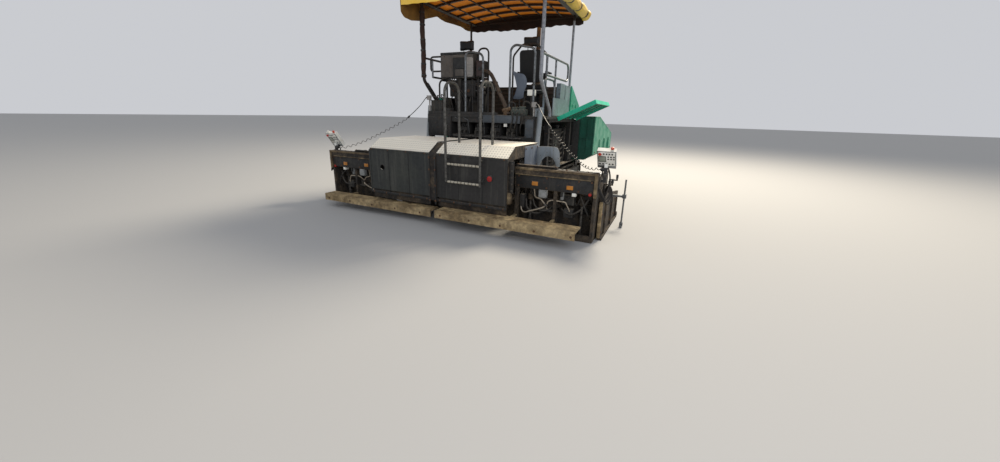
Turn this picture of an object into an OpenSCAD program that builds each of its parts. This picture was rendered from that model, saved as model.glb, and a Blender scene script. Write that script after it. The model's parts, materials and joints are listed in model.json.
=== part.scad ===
// Tracked asphalt paver with an extending screed, in millimetres.
// +Y is forward, +X is the machine's right side, +Z is up and Z = 0 is the ground.
// The origin is on the ground, below the middle of the machine's box.

/* [Overall] */
// Rear face of the screed hood, along Y from the origin
hood_y = -3200; // [-3300:10:-3100]
// Rear end of the tractor, in front of the hood's rear face
tail_gap = 1400; // [1370:5:1440]
// Half of the width over the tractor's side panels
half_w = 1200; // [1190:5:1220]

/* [Tracks] */
// Distance between the drive and idler wheels of a track
track_base = 2300; // [2000:50:2400]
// Rear wheel centre of a track, in front of the hood's rear face
track_rear = 2320; // [2280:10:2400]
// Outer radius of a track loop where it bends round a wheel
track_r = 300; // [280:5:305]
// Width of the track shoes
shoe_w = 305; // [260:5:310]
// Height of a shoe over the chain that carries it
shoe_h = 22; // [15:1:28]
// Length of a shoe along the loop
shoe_l = 118; // [90:2:125]
// Thickness of the chain below the shoes
chain_t = 26; // [20:1:32]
// Number of shoes on a loop
shoe_n = 43; // [36:1:44]
// Distance of a track's middle from the machine's middle
track_x = 1000; // [990:2:1005]
// Diameter of the road rollers
roller_d = 150; // [120:5:170]

/* [Chassis] */
// Half of the width over the chassis side plates
chassis_x = 800; // [780:5:810]
// Thickness of the chassis side plates
plate_t = 25; // [16:1:30]
// Height of the conveyor floor's middle above the ground
floor_z = 370; // [350:5:400]
// Height of the chassis deck that roofs the conveyor tunnel
deck_z = 900; // [880:5:940]
// Thickness of the chassis deck
deck_t = 20; // [12:1:30]
// Height of the operator's platform
platform_z = 1650; // [1630:5:1680]
// Thickness of the platform
platform_t = 40; // [30:1:60]
// Diameter of the lashing eyes at the front of the chassis
lash_d = 60; // [50:1:70]
// Width of the engine block
engine_w = 1200; // [1100:10:1240]
// Height of the engine block
engine_h = 700; // [640:10:705]

/* [Conveyors] */
// Height inside a conveyor chain's loop
belt_in_h = 70; // [60:2:80]
// Thickness of a conveyor chain
belt_t = 22; // [16:1:24]
// Distance between two slats
slat_pitch = 300; // [200:10:400]

/* [Hopper] */
// Rear end of the hopper, in front of the hood's rear face
hopper_rear = 4030; // [4020:5:4060]
// Length of the hopper
hopper_l = 2420; // [2300:10:2440]
// Half of the hopper's width with its wings down
hopper_x = 1600; // [1500:10:1620]
// Height of a wing's outer wall at its rear end
wing_rear_z = 1660; // [1600:5:1680]
// Height of a wing's outer wall at its front end
wing_front_z = 1230; // [1150:10:1300]
// Thickness of the wing's plates
wing_t = 20; // [12:1:25]
// Height of the wing's hinge
wing_hinge_z = 700; // [690:2:720]
// Distance of the wing's hinge from the middle
wing_hinge_x = 830; // [820:2:836]
// Diameter of the wing's hinge pin
wing_pin_d = 40; // [30:1:50]
// Length of a knuckle of the wing's hinge
knuckle_l = 180; // [140:5:200]
// Thickness of the plates that carry the wing's hinge
carrier_t = 30; // [20:1:36]

/* [Push beam] */
// Height of the push rollers' axis
push_z = 520; // [510:2:530]
// Diameter of a push roller
push_roller_d = 160; // [140:5:170]
// Diameter of a push roller's axle
push_axle_d = 44; // [36:1:50]
// Diameter of the pin that the beam swivels on
push_pin_d = 50; // [40:1:60]

/* [Body] */
// Height of the peak of the engine hood's sides
hood_peak_z = 2270; // [2240:5:2290]
// Diameter of the muffler
muffler_d = 170; // [150:5:190]
// Diameter of the exhaust pipe
stack_d = 90; // [70:2:110]
// Distance of the exhaust from the middle
stack_x = 300; // [260:10:340]
// Height of the exhaust pipe's end
stack_z = 3680; // [3500:10:3700]
// Half of the width of the rear cabinet
cabinet_x = 1080; // [1070:1:1085]

/* [Side flaps] */
// Length of a side flap
flap_l = 1400; // [1350:5:1410]
// Width of a side flap
flap_w = 770; // [740:5:780]
// Height of a side flap's hinge
flap_hinge_z = 1620; // [1610:2:1630]
// Angle of the open flap over the level
flap_open = 25; // [20:1:30]
// Diameter of a side flap's hinge pin
flap_pin_d = 14; // [10:1:18]
// Length of a lug of the flap's hinge
flap_lug_l = 60; // [40:2:70]

/* [Platform] */
// Diameter of the handrails
rail_d = 38; // [32:1:42]
// Height of the side rails
rail_z = 2640; // [2600:5:2680]
// Height of the side rails' lower tube
mid_rail_z = 2330; // [2300:5:2360]
// Top of a seat's cushion
seat_z = 2230; // [2210:5:2250]
// Distance of the left seat from the middle
left_seat_x = 700; // [680:5:720]
// Distance of the right seat from the middle
right_seat_x = 665; // [650:5:680]
// Height of the control cabinet's lower side
cab_z = 2330; // [2320:5:2350]
// Height of the control cabinet
cab_h = 470; // [440:5:480]

/* [Augers] */
// Height of the augers' axis
auger_z = 350; // [340:5:360]
// Outer diameter of the auger flights
auger_d = 380; // [340:5:390]
// Length of an auger
auger_l = 1000; // [950:10:1010]
// Diameter of the auger shafts
auger_shaft_d = 90; // [70:2:100]
// Width of the drive case between the augers
case_w = 120; // [100:5:130]
// Turns of a flight
auger_turns = 3; // [2:1:4]
// Thickness of a flight
flight_t = 26; // [16:1:30]

/* [Screed] */
// Half of the width of the basic screed
screed_x = 1250; // [1230:5:1260]
// Height of the hood's flat top
hood_z = 1240; // [1210:5:1250]
// Height of the hood's lower rear edge
hood_low_z = 420; // [400:5:450]
// Height at which the hood's rear face turns into its sloping edge
hood_shoulder_z = 1090; // [1050:5:1110]
// Depth of the hood's sloping edge
hood_slope = 250; // [200:5:300]
// Depth of the hood from back to front
hood_depth = 1200; // [1150:5:1220]
// Thickness of the hood's sheet
hood_t = 12; // [6:1:16]
// Diameter of the lamp hole in the hood's left half
lamp_d = 80; // [70:1:90]
// Width of the post between the two halves of the hood
post_w = 130; // [110:5:150]
// Depth of an extension's sole plate
ext_depth = 450; // [400:5:460]
// Rear edge of an extension's sole plate, in front of the hood's rear face
ext_rear = 240; // [230:5:260]
// Width of an extension
ext_w = 1170; // [1150:5:1180]
// Height of an extension's top rail
ext_z = 960; // [930:5:980]
// Diameter of the sliding guide tubes
tube_d = 130; // [110:5:140]
// Height of the upper guide tube's axis
tube_high_z = 820; // [800:5:840]
// Height of the lower guide tube's axis
tube_low_z = 600; // [580:5:620]
// Thickness of the guide sleeves
sleeve_t = 15; // [10:1:20]
// Diameter of the bolt holes for a bolt-on extension
bolt_d = 22; // [18:1:26]
// Distance of those holes along Y
bolt_gap_y = 240; // [200:10:260]
// Distance of those holes along Z
bolt_gap_z = 160; // [120:10:170]

/* [Tow arms and lift cylinders] */
// Tow point, in front of the hood's rear face
tow_point = 4250; // [4200:10:4300]
// Height of the tow point
tow_z = 450; // [440:5:460]
// Depth of a tow arm's beam
arm_h = 140; // [120:5:150]
// Thickness of a tow arm's beam
arm_w = 60; // [45:1:64]
// Distance of a tow arm's middle from the machine's middle
arm_x = 1215; // [1205:1:1225]
// Diameter of the tow pins
tow_pin_d = 60; // [50:1:70]
// Thickness of the cheeks that hold the tow pins
tow_cheek_t = 14; // [10:1:16]
// Angle that the screed is lifted through
lift_deg = 7; // [5:0.5:7]
// Distance of a lift cylinder from the middle
cyl_x = 1138; // [1134:1:1142]
// Height of the eye at a lift rod's end
eye_z = 700; // [690:5:710]
// Diameter of the pin through the eye
eye_pin_d = 36; // [30:1:42]
// Outer diameter of the eye
eye_d = 96; // [84:2:104]
// Width of the eye
eye_w = 36; // [30:1:40]
// Diameter of a cylinder's barrel
barrel_d = 84; // [76:1:90]
// Length of a cylinder's barrel
barrel_l = 700; // [660:10:740]
// Diameter of a lift rod
rod_d = 50; // [40:1:56]
// Length of a lift rod from its eye
rod_l = 560; // [500:10:600]
// Length of a lift cylinder from its top to the eye
cyl_l = 1110; // [1080:10:1140]

/* [Canopy] */
// Height of the canopy's lower edge
canopy_z = 3590; // [3550:5:3620]
// Rise of the canopy's arch
canopy_rise = 120; // [80:5:160]
// Overhang of the canopy beyond the side panels
canopy_over = 100; // [90:5:120]
// Rear end of the canopy, in front of the hood's rear face
canopy_rear = 1000; // [950:10:1100]
// Length of the canopy
canopy_l = 2450; // [2300:10:2500]
// Thickness of the canopy's cloth as a solid
cloth_t = 14; // [10:1:20]
// Height of the front curtain's lower edge
curtain_z = 3420; // [3380:5:3480]
// Diameter of the rolled-up curtain along the right side
bundle_d = 200; // [160:5:220]
// Diameter of the canopy's posts
post_d = 60; // [48:1:64]
// Distance that a side rail of the canopy reaches out past the middle of its posts
rail_out = 35; // [0:5:38]

/* [Remotes and cords] */
// Width of a remote control's panel
remote_w = 240; // [220:5:260]
// Length of a remote control's panel
remote_l = 280; // [260:5:300]
// Distance of a remote control from the middle
remote_x = 2500; // [2490:5:2520]
// Diameter of a lead
lead_d = 14; // [12:1:16]
// Outer diameter of a curly cord
curl_d = 44; // [36:1:48]
// Diameter of the joiner between a lead and its curly cord
joiner_d = 34; // [30:1:38]

/* [Hidden] */
$fn = 48;
// Clearance of a running fit and gap between pieces that seat without touching
running = 0.1;
seat = 0.3;
tail_y = hood_y + tail_gap;
rear_wheel_y = hood_y + track_rear;
front_wheel_y = rear_wheel_y + track_base;
loop_r = track_r - shoe_h;
loop_in_r = loop_r - chain_t;
hopper_y = hood_y + hopper_rear;
hopper_front_y = hopper_y + hopper_l;
tow_y = hood_y + tow_point;
ext_x = screed_x + 20;
ext_out_x = ext_x + ext_w;
ext_y = hood_y + ext_rear;

// Extrudes a Y-Z outline along X
module along_x(x0, x1) translate([x0, 0, 0]) rotate([90, 0, 90]) linear_extrude(x1 - x0) children();
// Extrudes an X-Z outline along Y
module along_y(y0, y1) translate([0, y1, 0]) rotate([90, 0, 0]) linear_extrude(y1 - y0) children();
// A box between two corners
module block(low, high) translate(low) cube(high - low);
// A round bar between two points
module rod(a, b, d) {
    v = b - a;
    translate(a) rotate([0, acos(v.z / norm(v)), atan2(v.y, v.x)]) cylinder(h = norm(v), d = d);
}
// A tube through a list of points, bent round each inner one at radius r
bend_lap = 2;
bend_over = 0.6;
function unit(v) = v / norm(v);
function turn_at(p, i) = acos(max(-1, min(1, unit(p[i] - p[i - 1]) * unit(p[i + 1] - p[i]))));
function tangent_l(p, i, r) = i == 0 || i == len(p) - 1 ? 0 : r * tan(turn_at(p, i) / 2);
module pipe(points, d, r = 60) {
    n = len(points);
    for (i = [0 : n - 2]) {
        along = unit(points[i + 1] - points[i]);
        start = i == 0 ? 0 : tangent_l(points, i, r) - bend_lap;
        end = i == n - 2 ? 0 : tangent_l(points, i + 1, r) - bend_lap;
        rod(points[i] + start * along, points[i + 1] - end * along, d);
    }
    if (n > 2) for (i = [1 : n - 2])
        elbow(points[i - 1], points[i], points[i + 1], turn_at(points, i), d + bend_over, r);
}
module elbow(before, corner, after, turn, d, r) {
    u = unit(before - corner);
    v = unit(after - corner);
    centre = corner + unit(u + v) * r / cos(turn / 2);
    e1 = unit(corner + u * r * tan(turn / 2) - centre);
    e2 = -u;
    e3 = cross(e1, e2);
    multmatrix([
        [e1.x, e2.x, e3.x, centre.x], [e1.y, e2.y, e3.y, centre.y], [e1.z, e2.z, e3.z, centre.z], [0, 0, 0, 1]
    ]) rotate_extrude(angle = turn) translate([r, 0]) circle(d = d);
}
// Draws children for the right side, or mirrored for the left side
module on_side(side) {
    if (side < 0) mirror([1, 0, 0]) children();
    else children();
}
// A straight oval outline between two wheel centres
module oval(r) {
    translate([rear_wheel_y, track_r]) circle(r);
    translate([front_wheel_y, track_r]) circle(r);
    translate([rear_wheel_y, track_r - r]) square([track_base, 2 * r]);
}

// Chassis: two side plates with the front plate that carries the push beam's pivot
front_plate_y = hopper_front_y - 250;
module chassis_side() polygon([
    [tail_y + 270, floor_z - 90], [front_plate_y, floor_z - 90],
    [front_plate_y, wing_hinge_z - 120], [hopper_y - 20, wing_hinge_z - 120],
    [hopper_y - 20, deck_z], [tail_y + 130, deck_z], [tail_y + 130, deck_z - 340],
    [tail_y + 270, deck_z - 480]
]);
module chassis() color("dimgray") {
    for (side = [-1, 1]) on_side(side) difference() {
        along_x(chassis_x - plate_t, chassis_x) chassis_side();
        for (y = [rear_wheel_y, front_wheel_y]) translate([chassis_x - plate_t - 1, y, track_r])
            rotate([0, 90, 0]) cylinder(d = 90, h = plate_t + 2);
        translate([chassis_x - plate_t - 1, front_plate_y - 80, floor_z - 30]) rotate([0, 90, 0])
            cylinder(d = lash_d, h = plate_t + 2);
    }
    block([-chassis_x + plate_t, front_plate_y - 20, floor_z - 90],
        [chassis_x - plate_t, front_plate_y, wing_hinge_z - 120]);
    block([-120, front_plate_y, push_z - 102], [120, front_plate_y + 20, push_z + 102]);
    for (z = [push_z - 102, push_z + 82]) block([-120, front_plate_y, z], [120, push_pivot_y + 60, z + 20]);
    translate([0, push_pivot_y, push_z - 102]) cylinder(d = push_pin_d, h = 204);
}
// Floor under the conveyors, wall between them and deck over them, set between the side plates
module chassis_deck() color("dimgray") {
    deck_x = chassis_x - plate_t - seat;
    block([-deck_x, belt_rear_y, floor_z - belt_in_h / 2 + seat], [deck_x, belt_front_y, floor_z + belt_in_h / 2 - seat]);
    block([-deck_x, tail_y + 130, deck_z - deck_t], [deck_x, hopper_y - 20, deck_z]);
    block([-12, tail_y + 420, floor_z + belt_in_h / 2 - seat], [12, hopper_y - 20, deck_z - deck_t]);
}
module engine_block() color("gray")
    block([-engine_w / 2, hopper_y - 1450, deck_z], [engine_w / 2, hopper_y - 350, deck_z + engine_h]);

// Fuel tank and oil tank on the fenders, with their filler necks
fender_z = 2 * track_r + 82;
tank_z = 1400;
module side_tanks() color("black") for (side = [-1, 1]) on_side(side) {
    along_y(hopper_y - 1800, hopper_y - 480) polygon([
        [chassis_x + 5, fender_z], [half_w - 170, fender_z], [half_w - 170, tank_z - 30],
        [half_w - 200, tank_z], [engine_w / 2 + 60, tank_z], [engine_w / 2 + 60, deck_z + 5],
        [chassis_x + 5, deck_z + 5]
    ]);
    for (y = [hopper_y - 1620, hopper_y - 700])
        rod([half_w - 300, y, tank_z], [half_w - 300, y, tank_z + 50], 110);
}

// Track loop: one chain ring with its shoes standing out of it
module track_loop() {
    pitch = (2 * track_base + 2 * PI * loop_r) / shoe_n;
    along_x(track_x - shoe_w / 2, track_x + shoe_w / 2) difference() {
        union() {
            oval(loop_r);
            for (i = [0 : shoe_n - 1]) shoe(i * pitch);
        }
        oval(loop_in_r);
    }
}
// One shoe at a distance along the loop, which starts at the rear wheel's lowest point
module shoe(s) {
    bend = PI * loop_r;
    if (s < track_base)
        translate([rear_wheel_y + s, track_r]) shoe_on(180);
    else if (s < track_base + bend)
        translate([front_wheel_y, track_r]) shoe_on(180 + (s - track_base) / loop_r * 180 / PI);
    else if (s < 2 * track_base + bend)
        translate([front_wheel_y - (s - track_base - bend), track_r]) shoe_on(0);
    else
        translate([rear_wheel_y, track_r]) shoe_on((s - 2 * track_base - bend) / loop_r * 180 / PI);
}
module shoe_on(turn) rotate(turn) translate([-shoe_l / 2, loop_r - 6]) square([shoe_l, shoe_h + 6]);
module track_left() color("darkslategray") on_side(-1) track_loop();
module track_right() color("darkslategray") track_loop();

// Track frame: beam, drive wheel, idler wheel, road rollers and carrier rollers
module track_frame() {
    wheel_r = loop_in_r - seat;
    beam_h = 170;
    along_x(track_x - 50, track_x + 50) polygon([
        [rear_wheel_y, track_r + 60], [rear_wheel_y, track_r - 60],
        [rear_wheel_y + 330, track_r - beam_h / 2], [front_wheel_y - 330, track_r - beam_h / 2],
        [front_wheel_y, track_r - 60], [front_wheel_y, track_r + 60],
        [front_wheel_y - 330, track_r + beam_h / 2], [rear_wheel_y + 330, track_r + beam_h / 2]
    ]);
    for (y = [rear_wheel_y, front_wheel_y]) translate([track_x, y, track_r]) rotate([0, 90, 0]) {
        difference() {
            cylinder(r = wheel_r, h = 120, center = true);
            for (z = [-1, 1]) translate([0, 0, z * 60]) cylinder(r = wheel_r - 45, h = 50, center = true);
        }
        cylinder(d = 140, h = 180, center = true);
    }
    for (i = [0 : 4]) translate([track_x, rear_wheel_y + 390 + i * (track_base - 780) / 4,
        track_r - loop_in_r + roller_d / 2 + seat]) rotate([0, 90, 0])
            cylinder(d = roller_d, h = 200, center = true);
    for (t = [1 / 3, 2 / 3]) translate([track_x, rear_wheel_y + t * track_base,
        track_r + loop_in_r - roller_d / 2 - seat]) rotate([0, 90, 0])
            cylinder(d = roller_d, h = 160, center = true);
    for (y = [rear_wheel_y + 420, front_wheel_y - 420])
        block([chassis_x, y - 90, track_r - 60], [track_x - 50, y + 90, track_r + 60]);
}
module track_frames() color("black") for (side = [-1, 1]) on_side(side) track_frame();

// Conveyors: two pairs of chains with slats between them, round the chassis floor
belt_rear_y = tail_y + 340;
belt_front_y = hopper_front_y - 420;
module conveyor_ring(x) along_x(x - 18, x + 18) difference() {
    belt_oval(belt_in_h / 2 + belt_t);
    belt_oval(belt_in_h / 2);
}
module belt_oval(r) {
    for (y = [belt_rear_y, belt_front_y]) translate([y, floor_z]) circle(r);
    translate([belt_rear_y, floor_z - r]) square([belt_front_y - belt_rear_y, 2 * r]);
}
module conveyor() color("slategray") {
    slat_n = floor((belt_front_y - belt_rear_y - 100) / slat_pitch);
    for (side = [-1, 1]) on_side(side) {
        for (x = [60, chassis_x - plate_t - 50]) conveyor_ring(x);
        for (i = [0 : slat_n]) block(
            [60, belt_rear_y + 40 + i * slat_pitch, floor_z + belt_in_h / 2 + belt_t - 12],
            [chassis_x - plate_t - 50, belt_rear_y + 80 + i * slat_pitch, floor_z + belt_in_h / 2 + belt_t + 14]);
    }
}

// Hopper: fixed trough between the wings
knuckle_d = wing_pin_d + 22;
function hinge_stations(n) = [for (i = [0 : n - 1]) hopper_y + 140 + i * (hopper_l - 540) / (n - 1)];
module hopper_floor() color("darkgreen") {
    rim_z = wing_hinge_z + 40;
    for (side = [-1, 1]) on_side(side) {
        block([chassis_x - plate_t - 6, hopper_y, wing_hinge_z - 120], [chassis_x - plate_t, hopper_front_y - 250, rim_z]);
        block([chassis_x - plate_t, hopper_y, wing_hinge_z - 120],
            [chassis_x - 12, hopper_front_y - 250, wing_hinge_z - knuckle_d / 2 - 8]);
        for (y = hinge_stations(3), dy = [-1, 1]) along_y(y + dy * (knuckle_l / 2 + carrier_t / 2 + 1) - carrier_t / 2,
            y + dy * (knuckle_l / 2 + carrier_t / 2 + 1) + carrier_t / 2) polygon([
                [chassis_x - plate_t, wing_hinge_z - 80], [wing_hinge_x + 10, wing_hinge_z - 22],
                [wing_hinge_x + 10, wing_hinge_z + 12], [wing_hinge_x - 20, wing_hinge_z + 24],
                [chassis_x - plate_t, wing_hinge_z + 24]
            ]);
        for (y = hinge_stations(3)) rod([wing_hinge_x, y - knuckle_l / 2 - 8, wing_hinge_z],
            [wing_hinge_x, y + knuckle_l / 2 + 8, wing_hinge_z], wing_pin_d);
    }
    block([-chassis_x + plate_t + 6, hopper_y - 20, deck_z - 60], [chassis_x - plate_t - 6, hopper_y - 5, deck_z + 300]);
    block([-chassis_x + plate_t + 6, hopper_front_y - 275, wing_hinge_z - 120],
        [chassis_x - plate_t - 6, hopper_front_y - 250, wing_hinge_z + 180]);
}

// One hopper wing: bottom plate, bent outer wall and rear wall, hinged along its inner edge
module wing_outline() polygon([
    [wing_hinge_x, wing_hinge_z - wing_t / 2], [hopper_x - 200, wing_hinge_z - wing_t / 2],
    [hopper_x, wing_hinge_z + 120], [hopper_x, wing_rear_z], [hopper_x - wing_t, wing_rear_z],
    [hopper_x - wing_t, wing_hinge_z + 128], [hopper_x - 208, wing_hinge_z + wing_t / 2],
    [wing_hinge_x, wing_hinge_z + wing_t / 2]
]);
module hopper_wing() difference() {
    union() {
        difference() {
            union() {
                along_y(hopper_y + wing_t, hopper_front_y) wing_outline();
                along_y(hopper_y, hopper_y + wing_t) polygon([
                    [wing_hinge_x + 40, wing_hinge_z - wing_t / 2], [hopper_x - 200, wing_hinge_z - wing_t / 2],
                    [hopper_x, wing_hinge_z + 120], [hopper_x, wing_rear_z], [half_w, wing_rear_z],
                    [half_w, wing_hinge_z + 300], [wing_hinge_x + 40, wing_hinge_z + 220]
                ]);
            }
            along_x(hopper_x - 60, hopper_x + 10) polygon([
                [hopper_y + 500, wing_rear_z], [hopper_front_y + 10, wing_front_z],
                [hopper_front_y + 10, wing_rear_z + 50], [hopper_y + 500, wing_rear_z + 50]
            ]);
            for (y = hinge_stations(3), dy = [-1, 1]) translate([wing_hinge_x - 1,
                y + dy * (knuckle_l / 2 + carrier_t / 2 + 1) - carrier_t / 2 - 6, wing_hinge_z - wing_t])
                    cube([knuckle_d / 2 + 2, carrier_t + 12, 2 * wing_t]);
        }
        for (t = [0.25, 0.5, 0.75]) translate([hopper_x - 1, hopper_y + t * hopper_l, wing_hinge_z + 140])
            cube([40, 50, 300]);
        for (y = hinge_stations(3)) translate([wing_hinge_x, y + knuckle_l / 2, wing_hinge_z])
            rotate([90, 0, 0]) cylinder(d = knuckle_d, h = knuckle_l);
    }
    for (y = hinge_stations(3)) translate([wing_hinge_x, y + knuckle_l / 2 + 1, wing_hinge_z])
        rotate([90, 0, 0]) cylinder(d = wing_pin_d + 2 * running, h = knuckle_l + 2);
}
module hopper_wing_left() color("seagreen") on_side(-1) hopper_wing();
module hopper_wing_right() color("seagreen") hopper_wing();

// Push beam with two rollers that meet a lorry's wheels
push_y = hopper_front_y + 70;
push_pivot_y = hopper_front_y - 90;
module push_beam() color("darkgreen") difference() {
    union() {
        block([-950, push_pivot_y - 60, push_z - 80], [950, push_pivot_y + 60, push_z + 80]);
        for (x = [-900, -120, 120, 900]) block([x - 20, push_pivot_y + 60, push_z - 60],
            [x + 20, push_y + 50, push_z + 60]);
    }
    translate([0, push_pivot_y, push_z - 81]) cylinder(d = push_pin_d + 2 * running, h = 162);
    rod([-940, push_y, push_z], [940, push_y, push_z], push_axle_d + 2 * running);
}
module push_roller(side) translate([side * 510, push_y, push_z]) rotate([0, 90, 0]) {
    cylinder(d = push_roller_d, h = 720, center = true);
    cylinder(d = push_axle_d, h = 800, center = true);
}
module push_roller_left() color("gray") push_roller(-1);
module push_roller_right() color("gray") push_roller(1);

// Frame of the upper body over the tracks
flap_rear_y = hood_y + 2230;
module body_frame() color("dimgray") {
    fender_low_z = fender_z - 12;
    frame_x = half_w - 80;
    for (side = [-1, 1]) on_side(side) {
        block([chassis_x, flap_rear_y - 120, fender_low_z], [half_w - 30, hopper_y - 20, fender_z]);
        block([chassis_x + 60, hopper_y - 20, fender_low_z], [half_w - 30, tow_y + 90, fender_z]);
        for (y = [flap_rear_y - 120, flap_rear_y + flap_l + 10])
            block([frame_x - 80, y, fender_z], [frame_x, y + 80, platform_z - platform_t]);
        block([frame_x - 80, flap_rear_y - 120, platform_z - platform_t - 60],
            [frame_x, hopper_y - 60, platform_z - platform_t]);
        block([arm_x - arm_w / 2 - tow_cheek_t - 6, tow_y - 70, tow_z - 70],
            [arm_x - arm_w / 2 - 6, tow_y + 70, fender_low_z]);
        rod([arm_x - arm_w / 2 - 7, tow_y, tow_z], [arm_x + arm_w / 2 + 12, tow_y, tow_z], tow_pin_d);
        rod([arm_x + arm_w / 2 + 6, tow_y, tow_z], [arm_x + arm_w / 2 + 18, tow_y, tow_z], tow_pin_d + 30);
    }
    block([-chassis_x, hopper_y - 45, deck_z], [chassis_x, hopper_y - 30, platform_z - platform_t]);
}

// Engine hood with its sloping top and tapered green sides
hood_peak_y = hood_y + 3250;
stack_y = hood_peak_y + 320;
module engine_hood() color("seagreen") {
    for (side = [-1, 1]) on_side(side) along_x(half_w - 20, half_w) polygon([
        [hood_peak_y, platform_z + 100], [hopper_y - 45, platform_z + 20], [hopper_y - 45, 1900],
        [hood_peak_y, hood_peak_z]
    ]);
    difference() {
        along_x(-half_w + 20, half_w - 20) polygon([
            [hood_peak_y, platform_z - platform_t], [hopper_y - 45, platform_z - platform_t],
            [hopper_y - 45, 1880], [hood_peak_y, hood_peak_z - 20]
        ]);
        translate([stack_x, stack_y, platform_z - platform_t - 1]) cylinder(d = muffler_d + 6, h = 800);
    }
}

// A side flap: a panel with a turned-down rim, hinged at the body's upper edge
flap_hinge_x = half_w + 18;
function flap_stations() = [for (t = [0.1, 0.5, 0.9]) flap_rear_y + t * flap_l];
module flap_panel() difference() {
    union() {
        block([22, flap_rear_y + 5, -5], [flap_w, flap_rear_y + flap_l - 5, 20]);
        block([flap_w - 20, flap_rear_y + 5, -55], [flap_w, flap_rear_y + flap_l - 5, -5]);
        for (y = [flap_rear_y + 5, flap_rear_y + flap_l - 25]) block([22, y, -55], [flap_w, y + 20, -5]);
        for (y = flap_stations()) {
            block([0, y - flap_lug_l / 2, -5], [30, y + flap_lug_l / 2, 12]);
            translate([0, y + flap_lug_l / 2, 0]) rotate([90, 0, 0]) cylinder(d = flap_pin_d + 12, h = flap_lug_l);
        }
    }
    for (y = flap_stations()) translate([0, y + flap_lug_l / 2 + 1, 0]) rotate([90, 0, 0])
        cylinder(d = flap_pin_d + 2 * running, h = flap_lug_l + 2);
}
module side_flap_left() color("seagreen") on_side(-1)
    translate([flap_hinge_x, 0, flap_hinge_z]) rotate([0, 90, 0]) flap_panel();
module side_flap_right() color("seagreen")
    translate([flap_hinge_x, 0, flap_hinge_z]) rotate([0, -flap_open, 0]) flap_panel();

// Operator's platform with steps in front of its rear edge
module platform() color("darkslategray") {
    deck_plate();
    for (side = [-1, 1]) on_side(side) {
        block([half_w - 10, rear_post_y + 40, platform_z], [half_w, hood_peak_y - 400, platform_z + 330]);
        block([half_w - 100, hood_peak_y - 740, platform_z],
            [half_w - 18, hood_peak_y - 440, platform_z + 610]);
        block([half_w - 32, hood_peak_y - 400, platform_z], [half_w - 20, hood_peak_y - 90, platform_z + 600]);
        pipe([[half_w - 110, rear_post_y - 180, platform_z], [half_w - 110, rear_post_y - 180, mid_rail_z - 40],
            [half_w - 110, rear_post_y + 400, mid_rail_z - 40], [half_w - 110, rear_post_y + 400, platform_z]],
            rail_d - 4, 110);
        for (y = flap_stations(), dy = [-1, 1]) flap_ear(y + dy * (flap_lug_l / 2 + 7));
        for (y = flap_stations()) rod([flap_hinge_x, y - flap_lug_l / 2 - 8, flap_hinge_z],
            [flap_hinge_x, y + flap_lug_l / 2 + 8, flap_hinge_z], flap_pin_d);
    }
}
module deck_plate() translate([0, 0, platform_z - platform_t]) linear_extrude(platform_t) polygon([
    [-cabinet_x, tail_y], [cabinet_x, tail_y], [cabinet_x, tail_y + 330], [half_w, tail_y + 330],
    [half_w, hood_peak_y], [-half_w, hood_peak_y], [-half_w, tail_y + 330], [-cabinet_x, tail_y + 330]
]);
module flap_ear(y) along_y(y - 5, y + 5) polygon([
    [half_w, platform_z - platform_t], [flap_hinge_x + 8, flap_hinge_z - 8], [flap_hinge_x + 8, flap_hinge_z + 8],
    [half_w, platform_z]
]);

// Rear cabinet: closed box at the left, open shelves and the beam below the platform
shelf_z = deck_z + 400;
module rear_cabinet() color("slategray") {
    top_z = platform_z - platform_t;
    block([-cabinet_x, tail_y + 20, deck_z], [cabinet_x, tail_y + 330, deck_z + 12]);
    block([-cabinet_x, tail_y, deck_z + 350], [-560, tail_y + 330, top_z]);
    block([-cabinet_x, tail_y + 20, deck_z + 12], [-cabinet_x + 80, tail_y + 100, deck_z + 350]);
    block([-560, tail_y + 20, top_z - 90], [cabinet_x, tail_y + 90, top_z]);
    block([-560, tail_y + 20, shelf_z - 12], [cabinet_x - 80, tail_y + 300, shelf_z]);
    block([-560, tail_y + 20, shelf_z - 60], [cabinet_x - 80, tail_y + 90, shelf_z - 12]);
    block([cabinet_x - 80, tail_y + 20, deck_z + 12], [cabinet_x, tail_y + 300, top_z]);
    block([-560, tail_y + 300, deck_z + 12], [cabinet_x, tail_y + 330, top_z]);
}
// Valve blocks with their solenoids on the shelf
module hydraulics() color("darkgray") for (i = [0 : 3]) translate([-420 + i * 320, tail_y + 100, shelf_z]) {
    cube([180, 190, 130]);
    for (x = [30, 75, 120]) block([x, 30, 130], [x + 30, 60, 200]);
    for (x = [45, 135]) rod([x, 0, 60], [x, -35, 60], 40);
}

// Operator's seat on a pedestal
module seat_at(x) {
    seat_y = hood_y + 2230;
    translate([x, seat_y, 0]) {
        block([-110, 60, platform_z], [110, 300, seat_z - 110]);
        block([-240, 20, seat_z - 110], [240, 480, seat_z]);
        along_x(-220, 220) polygon([[20, seat_z], [130, seat_z], [60, seat_z + 620], [-50, seat_z + 620]]);
        block([-130, -50, seat_z + 650], [130, 40, seat_z + 820]);
        for (bx = [-70, 70]) rod([bx, -5, seat_z + 610], [bx, -5, seat_z + 660], 14);
        for (side = [-1, 1]) on_side(side) {
            block([250, 60, seat_z + 190], [310, 360, seat_z + 235]);
            block([218, 70, seat_z + 150], [280, 110, seat_z + 190]);
        }
    }
}
module seats() color("black") for (x = [-left_seat_x, right_seat_x]) seat_at(x);

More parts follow.
